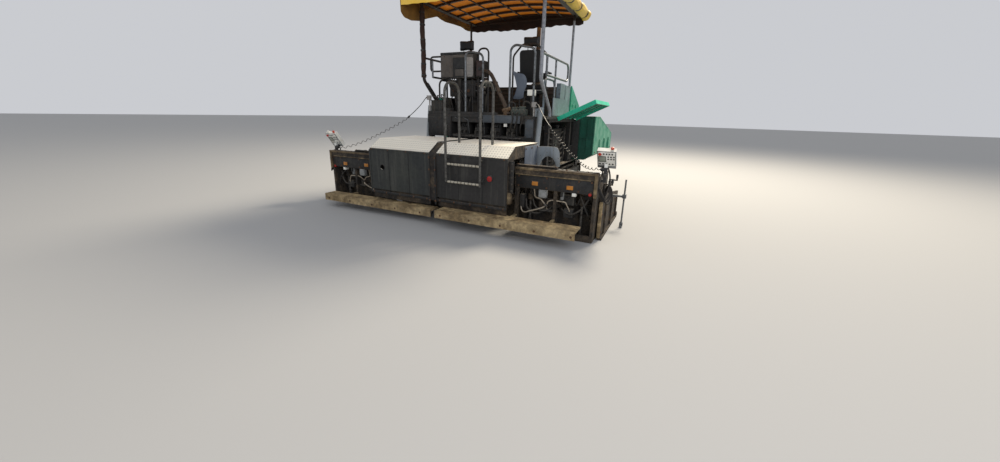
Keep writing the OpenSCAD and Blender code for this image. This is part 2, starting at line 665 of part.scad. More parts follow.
// Control cabinet behind the left seat, with its guard tube
module control_cabinet() color("gray") {
    cab_y = hood_y + 1950;
    cab_x = half_w - 60;
    block([-cab_x, cab_y, cab_z], [-cab_x + 750, cab_y + 180, cab_z + cab_h]);
    block([-cab_x + 340, cab_y + 40, platform_z], [-cab_x + 440, cab_y + 140, cab_z]);
    block([-cab_x + 750, cab_y + 60, cab_z + 60], [-cab_x + 800, cab_y + 120, cab_z + 120]);
    block([-cab_x + 800, cab_y + 10, cab_z + 20], [-cab_x + 970, cab_y + 170, cab_z + 300]);
    pipe([[-cab_x, cab_y + 60, cab_z + 410], [-cab_x - 280, cab_y + 60, cab_z + 410],
        [-cab_x - 280, cab_y + 60, cab_z + 140], [-cab_x, cab_y + 60, cab_z + 140]], 34);
}
module steering_console() color("gray") {
    con_y = hood_peak_y - 350;
    wheel_z = seat_z + 170;
    translate([-left_seat_x, con_y, 0]) {
        block([-300, 0, seat_z - 80], [300, 150, seat_z + 120]);
        block([-50, 20, platform_z], [50, 120, seat_z - 80]);
        translate([0, -60, wheel_z]) rotate([60, 0, 0]) difference() {
            cylinder(d = 340, h = 24, center = true);
            for (a = [0, 120, 240]) rotate(a) translate([0, 0, -13]) intersection() {
                difference() {
                    cylinder(d = 280, h = 26);
                    translate([0, 0, -1]) cylinder(d = 70, h = 28);
                }
                translate([14, 14, 0]) cube([200, 200, 26]);
            }
        }
        rod([0, -60, wheel_z], [0, 40, wheel_z - 60], 30);
    }
}

// Rails at the entry, which rise from the platform's rear edge
module entry_rails() color("silver") {
    gate_x = half_w - 220;
    pipe([[-280, tail_y + 60, platform_z], [-280, tail_y + 60, 2720], [-110, tail_y + 400, 2720],
        [-110, tail_y + 400, platform_z]], rail_d, 90);
    pipe([[gate_x - 450, tail_y + 200, platform_z], [gate_x - 450, tail_y + 200, 2820],
        [gate_x, tail_y + 200, 2740], [gate_x, tail_y + 200, platform_z]], rail_d, 110);
}
// Handrails along the platform's sides
module handrails() color("silver") {
    end_y = hood_peak_y - 230;
    for (side = [-1, 1]) on_side(side) {
        pipe([[post_x, tail_y + 20 + post_d / 2 + seat, rail_z], [post_x, end_y, rail_z],
            [post_x, end_y, mid_rail_z], [post_x, rear_post_y - 300, mid_rail_z]], rail_d, 110);
        rod([post_x, rear_post_y - 300, mid_rail_z], [post_x, rear_post_y - 300, rail_z], rail_d - 4);
        rod([post_x, rear_post_y + 200, platform_z], [post_x, rear_post_y + 200, rail_z], rail_d - 4);
    }
}
module exhaust_stack() color("tan") {
    translate([stack_x, stack_y, deck_z + engine_h]) cylinder(d = muffler_d, h = 850);
    translate([stack_x, stack_y, deck_z + engine_h + 850])
        cylinder(d = stack_d, h = stack_z - deck_z - engine_h - 850);
}

// Canopy frame: kinked rear posts, straight front posts, side rails and arched ribs
canopy_x = half_w + canopy_over;
canopy_y = hood_y + canopy_rear;
canopy_front_y = canopy_y + canopy_l;
canopy_r = (canopy_x * canopy_x + canopy_rise * canopy_rise) / (2 * canopy_rise);
canopy_mid_z = canopy_z + canopy_rise - canopy_r;
post_x = half_w - 40;
rear_post_y = hood_y + 2000;
kink_z = 2250;
post_top_z = canopy_z - 30;
rail_x = post_x + rail_out;
module canopy_frame() color("dimgray") {
    for (side = [-1, 1]) on_side(side) {
        pipe([[post_x, rear_post_y, platform_z], [post_x, rear_post_y, platform_z + 90],
            [post_x, tail_y + 20, kink_z], [post_x, tail_y + 20, post_top_z]], post_d, 120);
        rod([post_x, hood_peak_y - 50, platform_z], [post_x, hood_peak_y - 50, post_top_z], post_d - 14);
        block([post_x - post_d / 2 - 4, canopy_y + 20, post_top_z - 5],
            [rail_x + post_d / 2 + 2, canopy_front_y - 20, post_top_z + 28]);
    }
    for (i = [0 : 6]) intersection() {
        translate([0, canopy_y + 60 + i * (canopy_l - 160) / 6, canopy_mid_z])
            rotate([-90, 0, 0]) difference() {
            cylinder(r = canopy_r - cloth_t - seat, h = 40, $fn = 96);
            translate([0, 0, -1]) cylinder(r = canopy_r - cloth_t - 40, h = 42, $fn = 96);
        }
        block([-rail_x, canopy_y, post_top_z + 1], [rail_x, canopy_front_y, canopy_z + 600]);
    }
    for (y = [canopy_y + 60, canopy_front_y - 100])
        block([-rail_x, y + 6, post_top_z + 2], [rail_x, y + 34, post_top_z + 26]);
}
// The cloth: roof, front and rear curtains, the loose left edge and the rolled curtain at the right
module canopy_cloth() color("gold") {
    intersection() {
        translate([0, canopy_y, canopy_mid_z]) rotate([-90, 0, 0]) difference() {
            cylinder(r = canopy_r, h = canopy_l, $fn = 96);
            translate([0, 0, -1]) cylinder(r = canopy_r - cloth_t, h = canopy_l + 2, $fn = 96);
        }
        block([-canopy_x, canopy_y, canopy_z - 20], [canopy_x, canopy_front_y, canopy_z + 600]);
    }
    for (c = [[canopy_y, canopy_z - 60], [canopy_front_y - cloth_t, curtain_z]]) intersection() {
        block([-canopy_x + cloth_t, c[0], c[1]], [canopy_x - cloth_t, c[0] + cloth_t, canopy_z + 600]);
        translate([0, canopy_y, canopy_mid_z]) rotate([-90, 0, 0])
            cylinder(r = canopy_r - cloth_t / 2, h = canopy_l, $fn = 96);
    }
    along_x(-canopy_x, -canopy_x + cloth_t) polygon([
        [canopy_y, curtain_z - 120], [canopy_y + 450, curtain_z - 90], [canopy_y + 900, canopy_z - 60],
        [canopy_y + 1500, canopy_z - 90], [canopy_front_y, canopy_z - 60], [canopy_front_y, canopy_z + 4],
        [canopy_y, canopy_z + 4]
    ]);
    translate([canopy_x + 30, canopy_y, canopy_z + 10]) rotate([-90, 0, 0]) cylinder(d = bundle_d, h = canopy_l);
}

// Augers: a shaft with a helical flight on each side of the drive case
auger_y = tail_y + 60;
module auger_frame() color("dimgray") {
    beam_z = auger_z + 290;
    beam_x = case_w / 2 + auger_l + 34;
    block([-beam_x, auger_y - 40, beam_z], [beam_x, auger_y + 70, beam_z + 100]);
    block([-case_w / 2, auger_y - 70, auger_z - 110], [case_w / 2, auger_y + 70, beam_z]);
    for (side = [-1, 1]) on_side(side) difference() {
        block([case_w / 2 + auger_l + 10, auger_y - 60, auger_z - 70],
            [case_w / 2 + auger_l + 34, auger_y + 60, beam_z]);
        translate([case_w / 2 + auger_l, auger_y, auger_z]) rotate([0, 90, 0])
            cylinder(d = auger_shaft_d - 30 + 2 * running, h = 60);
    }
}
// A helical flight as a thin wound strip, with its inner edge inside the shaft
module flight(turns, length, n) {
    r = [auger_shaft_d / 2 - 6, auger_d / 2];
    steps = turns * n;
    polyhedron(
        points = [for (i = [0 : steps]) each [
            for (c = [[r[0], 0], [r[1], 0], [r[1], flight_t], [r[0], flight_t]])
                [c[0] * cos(i * 360 / n), c[0] * sin(i * 360 / n), i * (length - flight_t) / steps + c[1]]
        ]],
        faces = concat(
            [[3, 2, 1, 0]],
            [for (i = [0 : steps - 1], k = [0 : 3]) each
                let (a = 4 * i + k, b = 4 * i + (k + 1) % 4, c = b + 4, d = a + 4)
                    k == 2 ? [[a, b, d], [b, c, d]] : [[a, b, c], [a, c, d]]],
            [[for (k = [0 : 3]) 4 * steps + k]]
        )
    );
}
module auger(side) on_side(side) translate([case_w / 2 + 8, auger_y, auger_z]) rotate([0, 90, 0]) {
    cylinder(d = auger_shaft_d, h = auger_l - 8);
    translate([0, 0, auger_l - 8]) cylinder(d = auger_shaft_d - 30, h = 34);
    translate([0, 0, 20]) flight(auger_turns, auger_l - 60, 16);
}
module auger_left() color("gray") auger(-1);
module auger_right() color("gray") auger(1);

// Screed lift cylinders: barrels on the tractor, rods that follow the tow arms
eye_y = hood_y + 1400;
// The eye's path from the lowered to the raised screed sets the cylinder's direction
eye_from_tow = [eye_y - tow_y, eye_z - tow_z];
eye_raised = [eye_from_tow[0] * cos(lift_deg) + eye_from_tow[1] * sin(lift_deg),
    eye_from_tow[1] * cos(lift_deg) - eye_from_tow[0] * sin(lift_deg)];
cyl_dir = [0, eye_raised[0] - eye_from_tow[0], eye_raised[1] - eye_from_tow[1]]
    / norm(eye_raised - eye_from_tow);
eye_at = [cyl_x, eye_y, eye_z];
cyl_top = eye_at + cyl_l * cyl_dir;
module lift_cylinders() color("silver") for (side = [-1, 1]) on_side(side) {
    difference() {
        rod(cyl_top, cyl_top - barrel_l * cyl_dir, barrel_d);
        rod(cyl_top - 60 * cyl_dir, cyl_top - (barrel_l + 10) * cyl_dir, rod_d + 2 * running);
    }
    block([cabinet_x - 24, cyl_top.y - 30, cyl_top.z - 60], [cyl_x, cyl_top.y + 20, cyl_top.z - 15]);
    block([cabinet_x - 24, cyl_top.y - 60, platform_z], [cabinet_x, cyl_top.y + 50, cyl_top.z - 15]);
}
module lift_rod(side) on_side(side) difference() {
    union() {
        rod(eye_at + 40 * cyl_dir, eye_at + rod_l * cyl_dir, rod_d);
        translate(eye_at) rotate([0, 90, 0]) cylinder(d = eye_d, h = eye_w, center = true);
    }
    translate(eye_at) rotate([0, 90, 0]) cylinder(d = eye_pin_d + 16, h = eye_w + 2, center = true);
}
module lift_rod_left() color("lightgray") lift_rod(-1);
module lift_rod_right() color("lightgray") lift_rod(1);

// Tow arms from the tow points to the screed, with the pale brackets at their rear
module tow_arms() color("gray")
    for (side = [-1, 1]) on_side(side) {
        difference() {
            along_x(arm_x - arm_w / 2, arm_x + arm_w / 2) union() {
                polygon([
                    [tow_y + 80, tow_z - arm_h / 2], [tow_y + 80, tow_z + arm_h / 2],
                    [hood_y + 1600, tow_z + arm_h / 2], [hood_y + 1480, 900], [hood_y + 1300, 1150],
                    [screed_front_y, 1150], [screed_front_y, 330], [screed_front_y - 20, 330],
                    [screed_front_y - 20, 200], [hood_y + 1350, 200], [hood_y + 1480, tow_z - arm_h / 2]
                ]);
            }
            translate([arm_x - arm_w, tow_y, tow_z]) rotate([0, 90, 0])
                cylinder(d = tow_pin_d + 2 * running, h = 2 * arm_w);
        }
        rod([cyl_x - eye_w / 2 - 8, eye_y, eye_z], [arm_x - arm_w / 2, eye_y, eye_z], eye_pin_d);
    }

// Basic screed: sole plate, box frame, end frames, centre post and guide sleeves
box_rear_y = ext_y + ext_depth + 30;
tube_y = box_rear_y + 180;
screed_front_y = hood_y + 1150;
module screed_frame() color("dimgray") difference() {
    screed_body();
    for (z = [tube_low_z, tube_high_z]) rod([-screed_x - 1, tube_y, z], [screed_x + 1, tube_y, z],
        tube_d + 2 * running);
}
module screed_body() {
    for (z = [tube_low_z, tube_high_z]) rod([-screed_x, tube_y, z], [screed_x, tube_y, z], tube_d + 2 * sleeve_t);
    block([-screed_x, box_rear_y, 0], [screed_x, screed_front_y, 24]);
    block([-screed_x, box_rear_y + 20, 24], [screed_x, screed_front_y - 20, 330]);
    for (side = [-1, 1]) on_side(side) along_x(screed_x - 40, screed_x) difference() {
        polygon([
            [hood_y + hood_t + seat, hood_low_z + 20], [hood_y + hood_t + seat, hood_shoulder_z - 30],
            [hood_y + 60, hood_shoulder_z + 10],
            [hood_y + hood_slope + 6, hood_z - hood_t - seat], [hood_y + hood_depth - 60, hood_z - hood_t - seat],
            [screed_front_y, 330], [box_rear_y + 20, 330], [box_rear_y + 20, hood_low_z + 20]
        ]);
        polygon([
            [hood_y + 150, 0], [hood_y + 150, hood_shoulder_z - 60], [hood_y + hood_slope, ext_z + 100],
            [box_rear_y + 10, ext_z + 100], [box_rear_y + 10, 0]
        ]);
    }
    along_x(-post_w / 2, post_w / 2) polygon([
        [hood_y - 10, hood_low_z - 60], [hood_y - 10, hood_shoulder_z - 20],
        [hood_y + hood_slope, hood_z - hood_t - 3],
        [hood_y + hood_depth - 60, hood_z - hood_t - 3], [screed_front_y, 330], [box_rear_y + 20, 330],
        [hood_y + 60, hood_low_z - 60]
    ]);
}

// The two halves of the screed hood
module hood_sheet() polygon([
    [hood_y, hood_low_z], [hood_y, hood_shoulder_z - 25], [hood_y + 14, hood_shoulder_z + 6],
    [hood_y + 45, hood_shoulder_z + 27], [hood_y + hood_slope, hood_z],
    [hood_y + hood_depth, hood_z], [hood_y + hood_depth, hood_z - hood_t],
    [hood_y + hood_slope + 4, hood_z - hood_t], [hood_y + 50, hood_shoulder_z + 14],
    [hood_y + 24, hood_shoulder_z - 2], [hood_y + hood_t, hood_shoulder_z - 28],
    [hood_y + hood_t, hood_low_z]
]);
module screed_hoods() color("gray") for (side = [-1, 1]) on_side(side) difference() {
    along_x(post_w / 2 + seat, screed_x) hood_sheet();
    if (side < 0) translate([screed_x - 250, hood_y - 1, hood_shoulder_z - 300]) rotate([-90, 0, 0])
        cylinder(d = lamp_d, h = hood_t + 2);
}

// Ladder on the hood's rear face, rising as two bent handrails
ladder_y = hood_y - 75;
module ladder() color("silver") {
    top_z = 2090;
    for (x = [290, 860]) {
        pipe([[x, ladder_y, x < 500 ? 700 : 670], [x, ladder_y, top_z], [x, ladder_y + 380, top_z],
            [x, ladder_y + 380, hood_z]], rail_d, 150);
        for (z = [740, 1040]) if (x > 500 || z > 960) rod([x, ladder_y, z], [x, hood_y, z], 24);
    }
    for (z = [700, 960]) rod([290, ladder_y, z], [860, ladder_y, z], 30);
}

// Extension: sole plate, screed box, top rail with its face plate, jacks, drive motor and outer bracket
module extension() {
    block([ext_x, ext_y, 0], [ext_out_x, ext_y + ext_depth, 24]);
    block([ext_x + 60, ext_y + 250, 24], [ext_out_x, ext_y + ext_depth - 20, 330]);
    block([ext_x, ext_y, 24], [ext_out_x, ext_y + 40, 90]);
    block([ext_x, ext_y - 20, ext_z - 100], [ext_out_x, ext_y + 120, ext_z]);
    block([ext_x, ext_y, ext_z - 290], [ext_out_x, ext_y + 12, ext_z - 100]);
    for (x = [ext_x, ext_x + ext_w / 2, ext_out_x - 40])
        block([x, ext_y + 12, 24], [x + 40, ext_y + 100, ext_z - 100]);
    bracket();
    difference() {
        block([ext_x, ext_y + 30, ext_z], [ext_x + 600, ext_y + 110, ext_z + 35]);
        block([ext_x + 40, ext_y + 29, ext_z + 12], [ext_x + 560, ext_y + 60, ext_z + 24]);
    }
    for (x = [ext_x + 190, ext_x + 960]) {
        rod([x, ext_y + 180, 24], [x, ext_y + 180, ext_z - 60], 44);
        rod([x, ext_y + 180, 480], [x, ext_y + 180, 560], 84);
        block([x - 50, ext_y + 110, ext_z - 95], [x + 50, ext_y + 230, ext_z - 55]);
    }
    block([ext_x + 330, ext_y + 120, 330], [ext_x + 560, ext_y + 300, 350]);
    rod([ext_x + 340, ext_y + 200, 420], [ext_x + 550, ext_y + 200, 420], 150);
    rod([ext_x + 550, ext_y + 200, 420], [ext_x + 640, ext_y + 200, 420], 70);
}
// The outer bracket with four bolt holes, where a bolt-on extension is hung
bolt_y = ext_y + 380;
bolt_z = ext_z - 190;
module bracket() difference() {
    block([ext_out_x - 40, ext_y + 100, 24], [ext_out_x, hood_y + 1080, ext_z - 60]);
    for (dy = [-1, 1], dz = [-1, 1])
        translate([ext_out_x - 41, bolt_y + dy * bolt_gap_y / 2, bolt_z + dz * bolt_gap_z / 2])
            rotate([0, 90, 0]) cylinder(d = bolt_d, h = 42);
}
module extension_left() color("dimgray") on_side(-1) extension();
module extension_right() color("dimgray") extension();
module guide_tube(z) rod([0, tube_y, z], [ext_out_x - 40, tube_y, z], tube_d);
module guide_tube_left() color("lightgray") on_side(-1) guide_tube(tube_low_z);
module guide_tube_right() color("lightgray") guide_tube(tube_high_z);
module end_plate() {
    along_x(ext_out_x + 30, ext_out_x + 60) polygon([
        [hood_y + 440, 0], [hood_y + 1900, 0], [hood_y + 2000, 100], [hood_y + 2000, 440],
        [hood_y + 700, 630], [hood_y + 440, 560]
    ]);
    for (y = [hood_y + 520, hood_y + 960]) {
        block([ext_out_x, y, 160], [ext_out_x + 30, y + 80, 480]);
        block([ext_out_x, y, 590], [ext_out_x + 75, y + 80, 620]);
        rod([ext_out_x + 45, y + 40, 480], [ext_out_x + 45, y + 40, 790], 32);
        rod([ext_out_x + 46, y + 40, 780], [ext_out_x + 150, y + 40, 780], 18);
        rod([ext_out_x + 145, y + 40, 772], [ext_out_x + 145, y + 40, 860], 24);
    }
    for (y = [hood_y + 700, hood_y + 1250, hood_y + 1800])
        block([ext_out_x + 60, y, 30], [ext_out_x + 85, y + 40, y < hood_y + 1700 ? 480 : 380]);
    block([ext_out_x + 30, hood_y + 440, 0], [ext_out_x + 95, hood_y + 1880, 30]);
    rod([ext_out_x + 30, hood_y + 1880, 45], [ext_out_x + 95, hood_y + 1880, 45], 90);
}
// Grade sensor: an arm with a hanging foot that runs along the finished lane
module grade_sensor() {
    foot_x = 2690;
    block([ext_out_x + 60, hood_y + 1240, 480], [foot_x, hood_y + 1280, 510]);
    rod([foot_x, hood_y + 1260, 40], [foot_x, hood_y + 1260, 760], 26);
    block([foot_x - 28, hood_y + 1225, 470], [foot_x + 28, hood_y + 1295, 530]);
    rod([foot_x, hood_y + 1200, 22], [foot_x, hood_y + 1320, 22], 44);
    block([foot_x - 24, hood_y + 1235, 22], [foot_x + 24, hood_y + 1285, 80]);
}
module grade_sensor_left() color("silver") on_side(-1) grade_sensor();
module grade_sensor_right() color("silver") grade_sensor();
module end_plate_left() color("olive") on_side(-1) end_plate();
module end_plate_right() color("olive") end_plate();
module footboard_left() color("tan") {
    block([-2300, hood_y - 100, 200], [0, hood_y + 130, 228]);
    block([-2300, hood_y - 100, 110], [0, hood_y - 82, 200]);
    for (x = [ext_x, ext_x + ext_w / 2]) block([-x - 40, hood_y + 130, 200], [-x, ext_y + 12, 228]);
}
module footboard_right() color("tan") {
    block([150, hood_y - 200, 235], [2300, hood_y + 100, 260]);
    block([150, hood_y - 200, 145], [2300, hood_y - 182, 235]);
    for (x = [ext_x, ext_x + ext_w / 2]) block([x, hood_y + 100, 235], [x + 40, ext_y + 12, 260]);
}
// A remote control on its arm, with the inlet of its cord
remote_y = hood_y + 420;
inlet_x = remote_x - 60;
module remote() {
    translate([remote_x, remote_y, 1155]) rotate([35, 0, 0]) {
        cube([remote_w, 70, remote_l], center = true);
        translate([-remote_w / 2 + 40, -35, remote_l / 2 - 35]) rotate([90, 0, 0]) cylinder(d = 36, h = 22);
        translate([remote_w / 2 - 50, 0, remote_l / 2]) cylinder(d = 40, h = 30);
    }
    block([remote_x - 20, remote_y - 20, ext_z - 130], [remote_x + 20, remote_y + 20, 1080]);
    block([ext_out_x, remote_y - 20, ext_z - 130], [remote_x - 20, remote_y + 20, ext_z - 90]);
    rod([inlet_x + seat, remote_y, 1000], [remote_x - 19, remote_y, 1000], 50);
}
module remote_left() color("lightgray") on_side(-1) remote();
module remote_right() color("lightgray") remote();

// Cords: a straight lead from the tractor and a curly cord on to each remote
lead_right_route = [[1100, -1770, 1840], [1115, -1770, 1840], [1135, -1770, 1840], [1230, -1850, 1720], [1340, -1944, 1608],
    [1390, -1986, 1560], [1430, -2020, 1520]];
curl_right_route = [[1470, -2054, 1480], [1510, -2088, 1440], [1580, -2145, 1390], [1700, -2240, 1300],
    [1860, -2370, 1180], [2030, -2500, 1080], [2160, -2630, 1020], [2260, -2730, 1002], [2350, -2780, 1000],
    [2400, -2780, 1000], [2440, -2780, 1000]];
lead_left_route = [[-1100, -1770, 1940], [-1115, -1770, 1940], [-1135, -1770, 1940], [-1220, -1840, 1800], [-1320, -1888, 1690],
    [-1370, -1912, 1640], [-1410, -1932, 1600]];
curl_left_route = [[-1450, -1952, 1560], [-1490, -1972, 1524], [-1590, -2020, 1460], [-1760, -2120, 1350],
    [-1960, -2270, 1220], [-2120, -2440, 1110], [-2230, -2600, 1040], [-2300, -2730, 1004],
    [-2360, -2780, 1000], [-2400, -2780, 1000], [-2440, -2780, 1000]];
// A point on a smooth curve through four neighbouring route points
function curve_point(a, b, c, d, t) = 0.5 * (2 * b + (c - a) * t + (2 * a - 5 * b + 4 * c - d) * t * t
    + (3 * b - a - 3 * c + d) * t * t * t);
function smooth_route(p, steps) = [
    for (i = [0 : len(p) - 2], k = [0 : steps - 1]) curve_point(p[max(i - 1, 0)], p[i], p[i + 1],
        p[min(i + 2, len(p) - 1)], k / steps), p[len(p) - 1]
];
function ring_points(centre, dir, d, n) = let (u = cross(dir, [0, 0, 1]) / norm(cross(dir, [0, 0, 1])),
    v = cross(u, dir) / norm(dir)) [for (k = [0 : n - 1]) centre + d / 2 * (u * cos(k * 360 / n) + v * sin(k * 360 / n))];
module swept_tube(route, d, n) {
    m = len(route);
    polyhedron(
        points = [for (i = [0 : m - 1]) each ring_points(route[i], route[min(i + 1, m - 1)] - route[max(i - 1, 0)], d, n)],
        faces = concat(
            [[for (k = [0 : n - 1]) k]],
            [for (i = [0 : m - 2], k = [0 : n - 1])
                [i * n + k, (i + 1) * n + k, (i + 1) * n + (k + 1) % n, i * n + (k + 1) % n]],
            [[for (k = [n - 1 : -1 : 0]) (m - 1) * n + k]]
        )
    );
}
// Socket boxes on short stands, where the leads leave the tractor
module cable_sockets() color("beige") for (c = [[1, 1800], [-1, 1900]]) on_side(c[0]) {
    block([1050, tail_y + 30, platform_z], [1070, tail_y + 50, c[1]]);
    block([1030, tail_y, c[1]], [1100 - seat, tail_y + 60, c[1] + 80]);
}
// The joiner between a lead's end and its curly cord's start
module cord_joiner(a, b) rod(a + 1 * unit(b - a), b - 1 * unit(b - a), joiner_d);
module joiner_left() color("black")
    cord_joiner(lead_left_route[len(lead_left_route) - 1], curl_left_route[0]);
module joiner_right() color("black")
    cord_joiner(lead_right_route[len(lead_right_route) - 1], curl_right_route[0]);
module lead_left() color("white") swept_tube(smooth_route(lead_left_route, 3), lead_d, 8);
module lead_right() color("white") swept_tube(smooth_route(lead_right_route, 3), lead_d, 8);
module curly_cord_left() color("black") swept_tube(smooth_route(curl_left_route, 2), curl_d, 8);
module curly_cord_right() color("black") swept_tube(smooth_route(curl_right_route, 2), curl_d, 8);

chassis();
chassis_deck();
engine_block();
side_tanks();
track_left();
track_right();
track_frames();
conveyor();
hopper_floor();
hopper_wing_left();
hopper_wing_right();
push_beam();
push_roller_left();
push_roller_right();
body_frame();
engine_hood();
side_flap_left();
side_flap_right();
platform();
rear_cabinet();
hydraulics();
seats();
control_cabinet();
steering_console();
cable_sockets();
entry_rails();
handrails();
exhaust_stack();
canopy_frame();
canopy_cloth();
auger_frame();
auger_left();
auger_right();
lift_cylinders();
lift_rod_left();
lift_rod_right();
tow_arms();
screed_frame();
screed_hoods();
ladder();
extension_left();
extension_right();
guide_tube_left();
guide_tube_right();
end_plate_left();
end_plate_right();
grade_sensor_left();
grade_sensor_right();
footboard_left();
footboard_right();
remote_left();
remote_right();
lead_left();
lead_right();
joiner_left();
joiner_right();
curly_cord_left();
curly_cord_right();
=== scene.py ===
# %% [markdown]
# # A tracked asphalt paver, dressed in Blender
#
# The machine's solids come from the CAD frame: every node is already in its place, in metres, with the
# travel direction along +Y and the screed at the back, along -Y. This notebook adds the camera, the light,
# the finishes and the small parts that give a working paver its look: dust on the tread plates, tar on the
# screed, hoses, bolts, track shoes, the sagging canopy cloth and the curly cords of the two remotes.

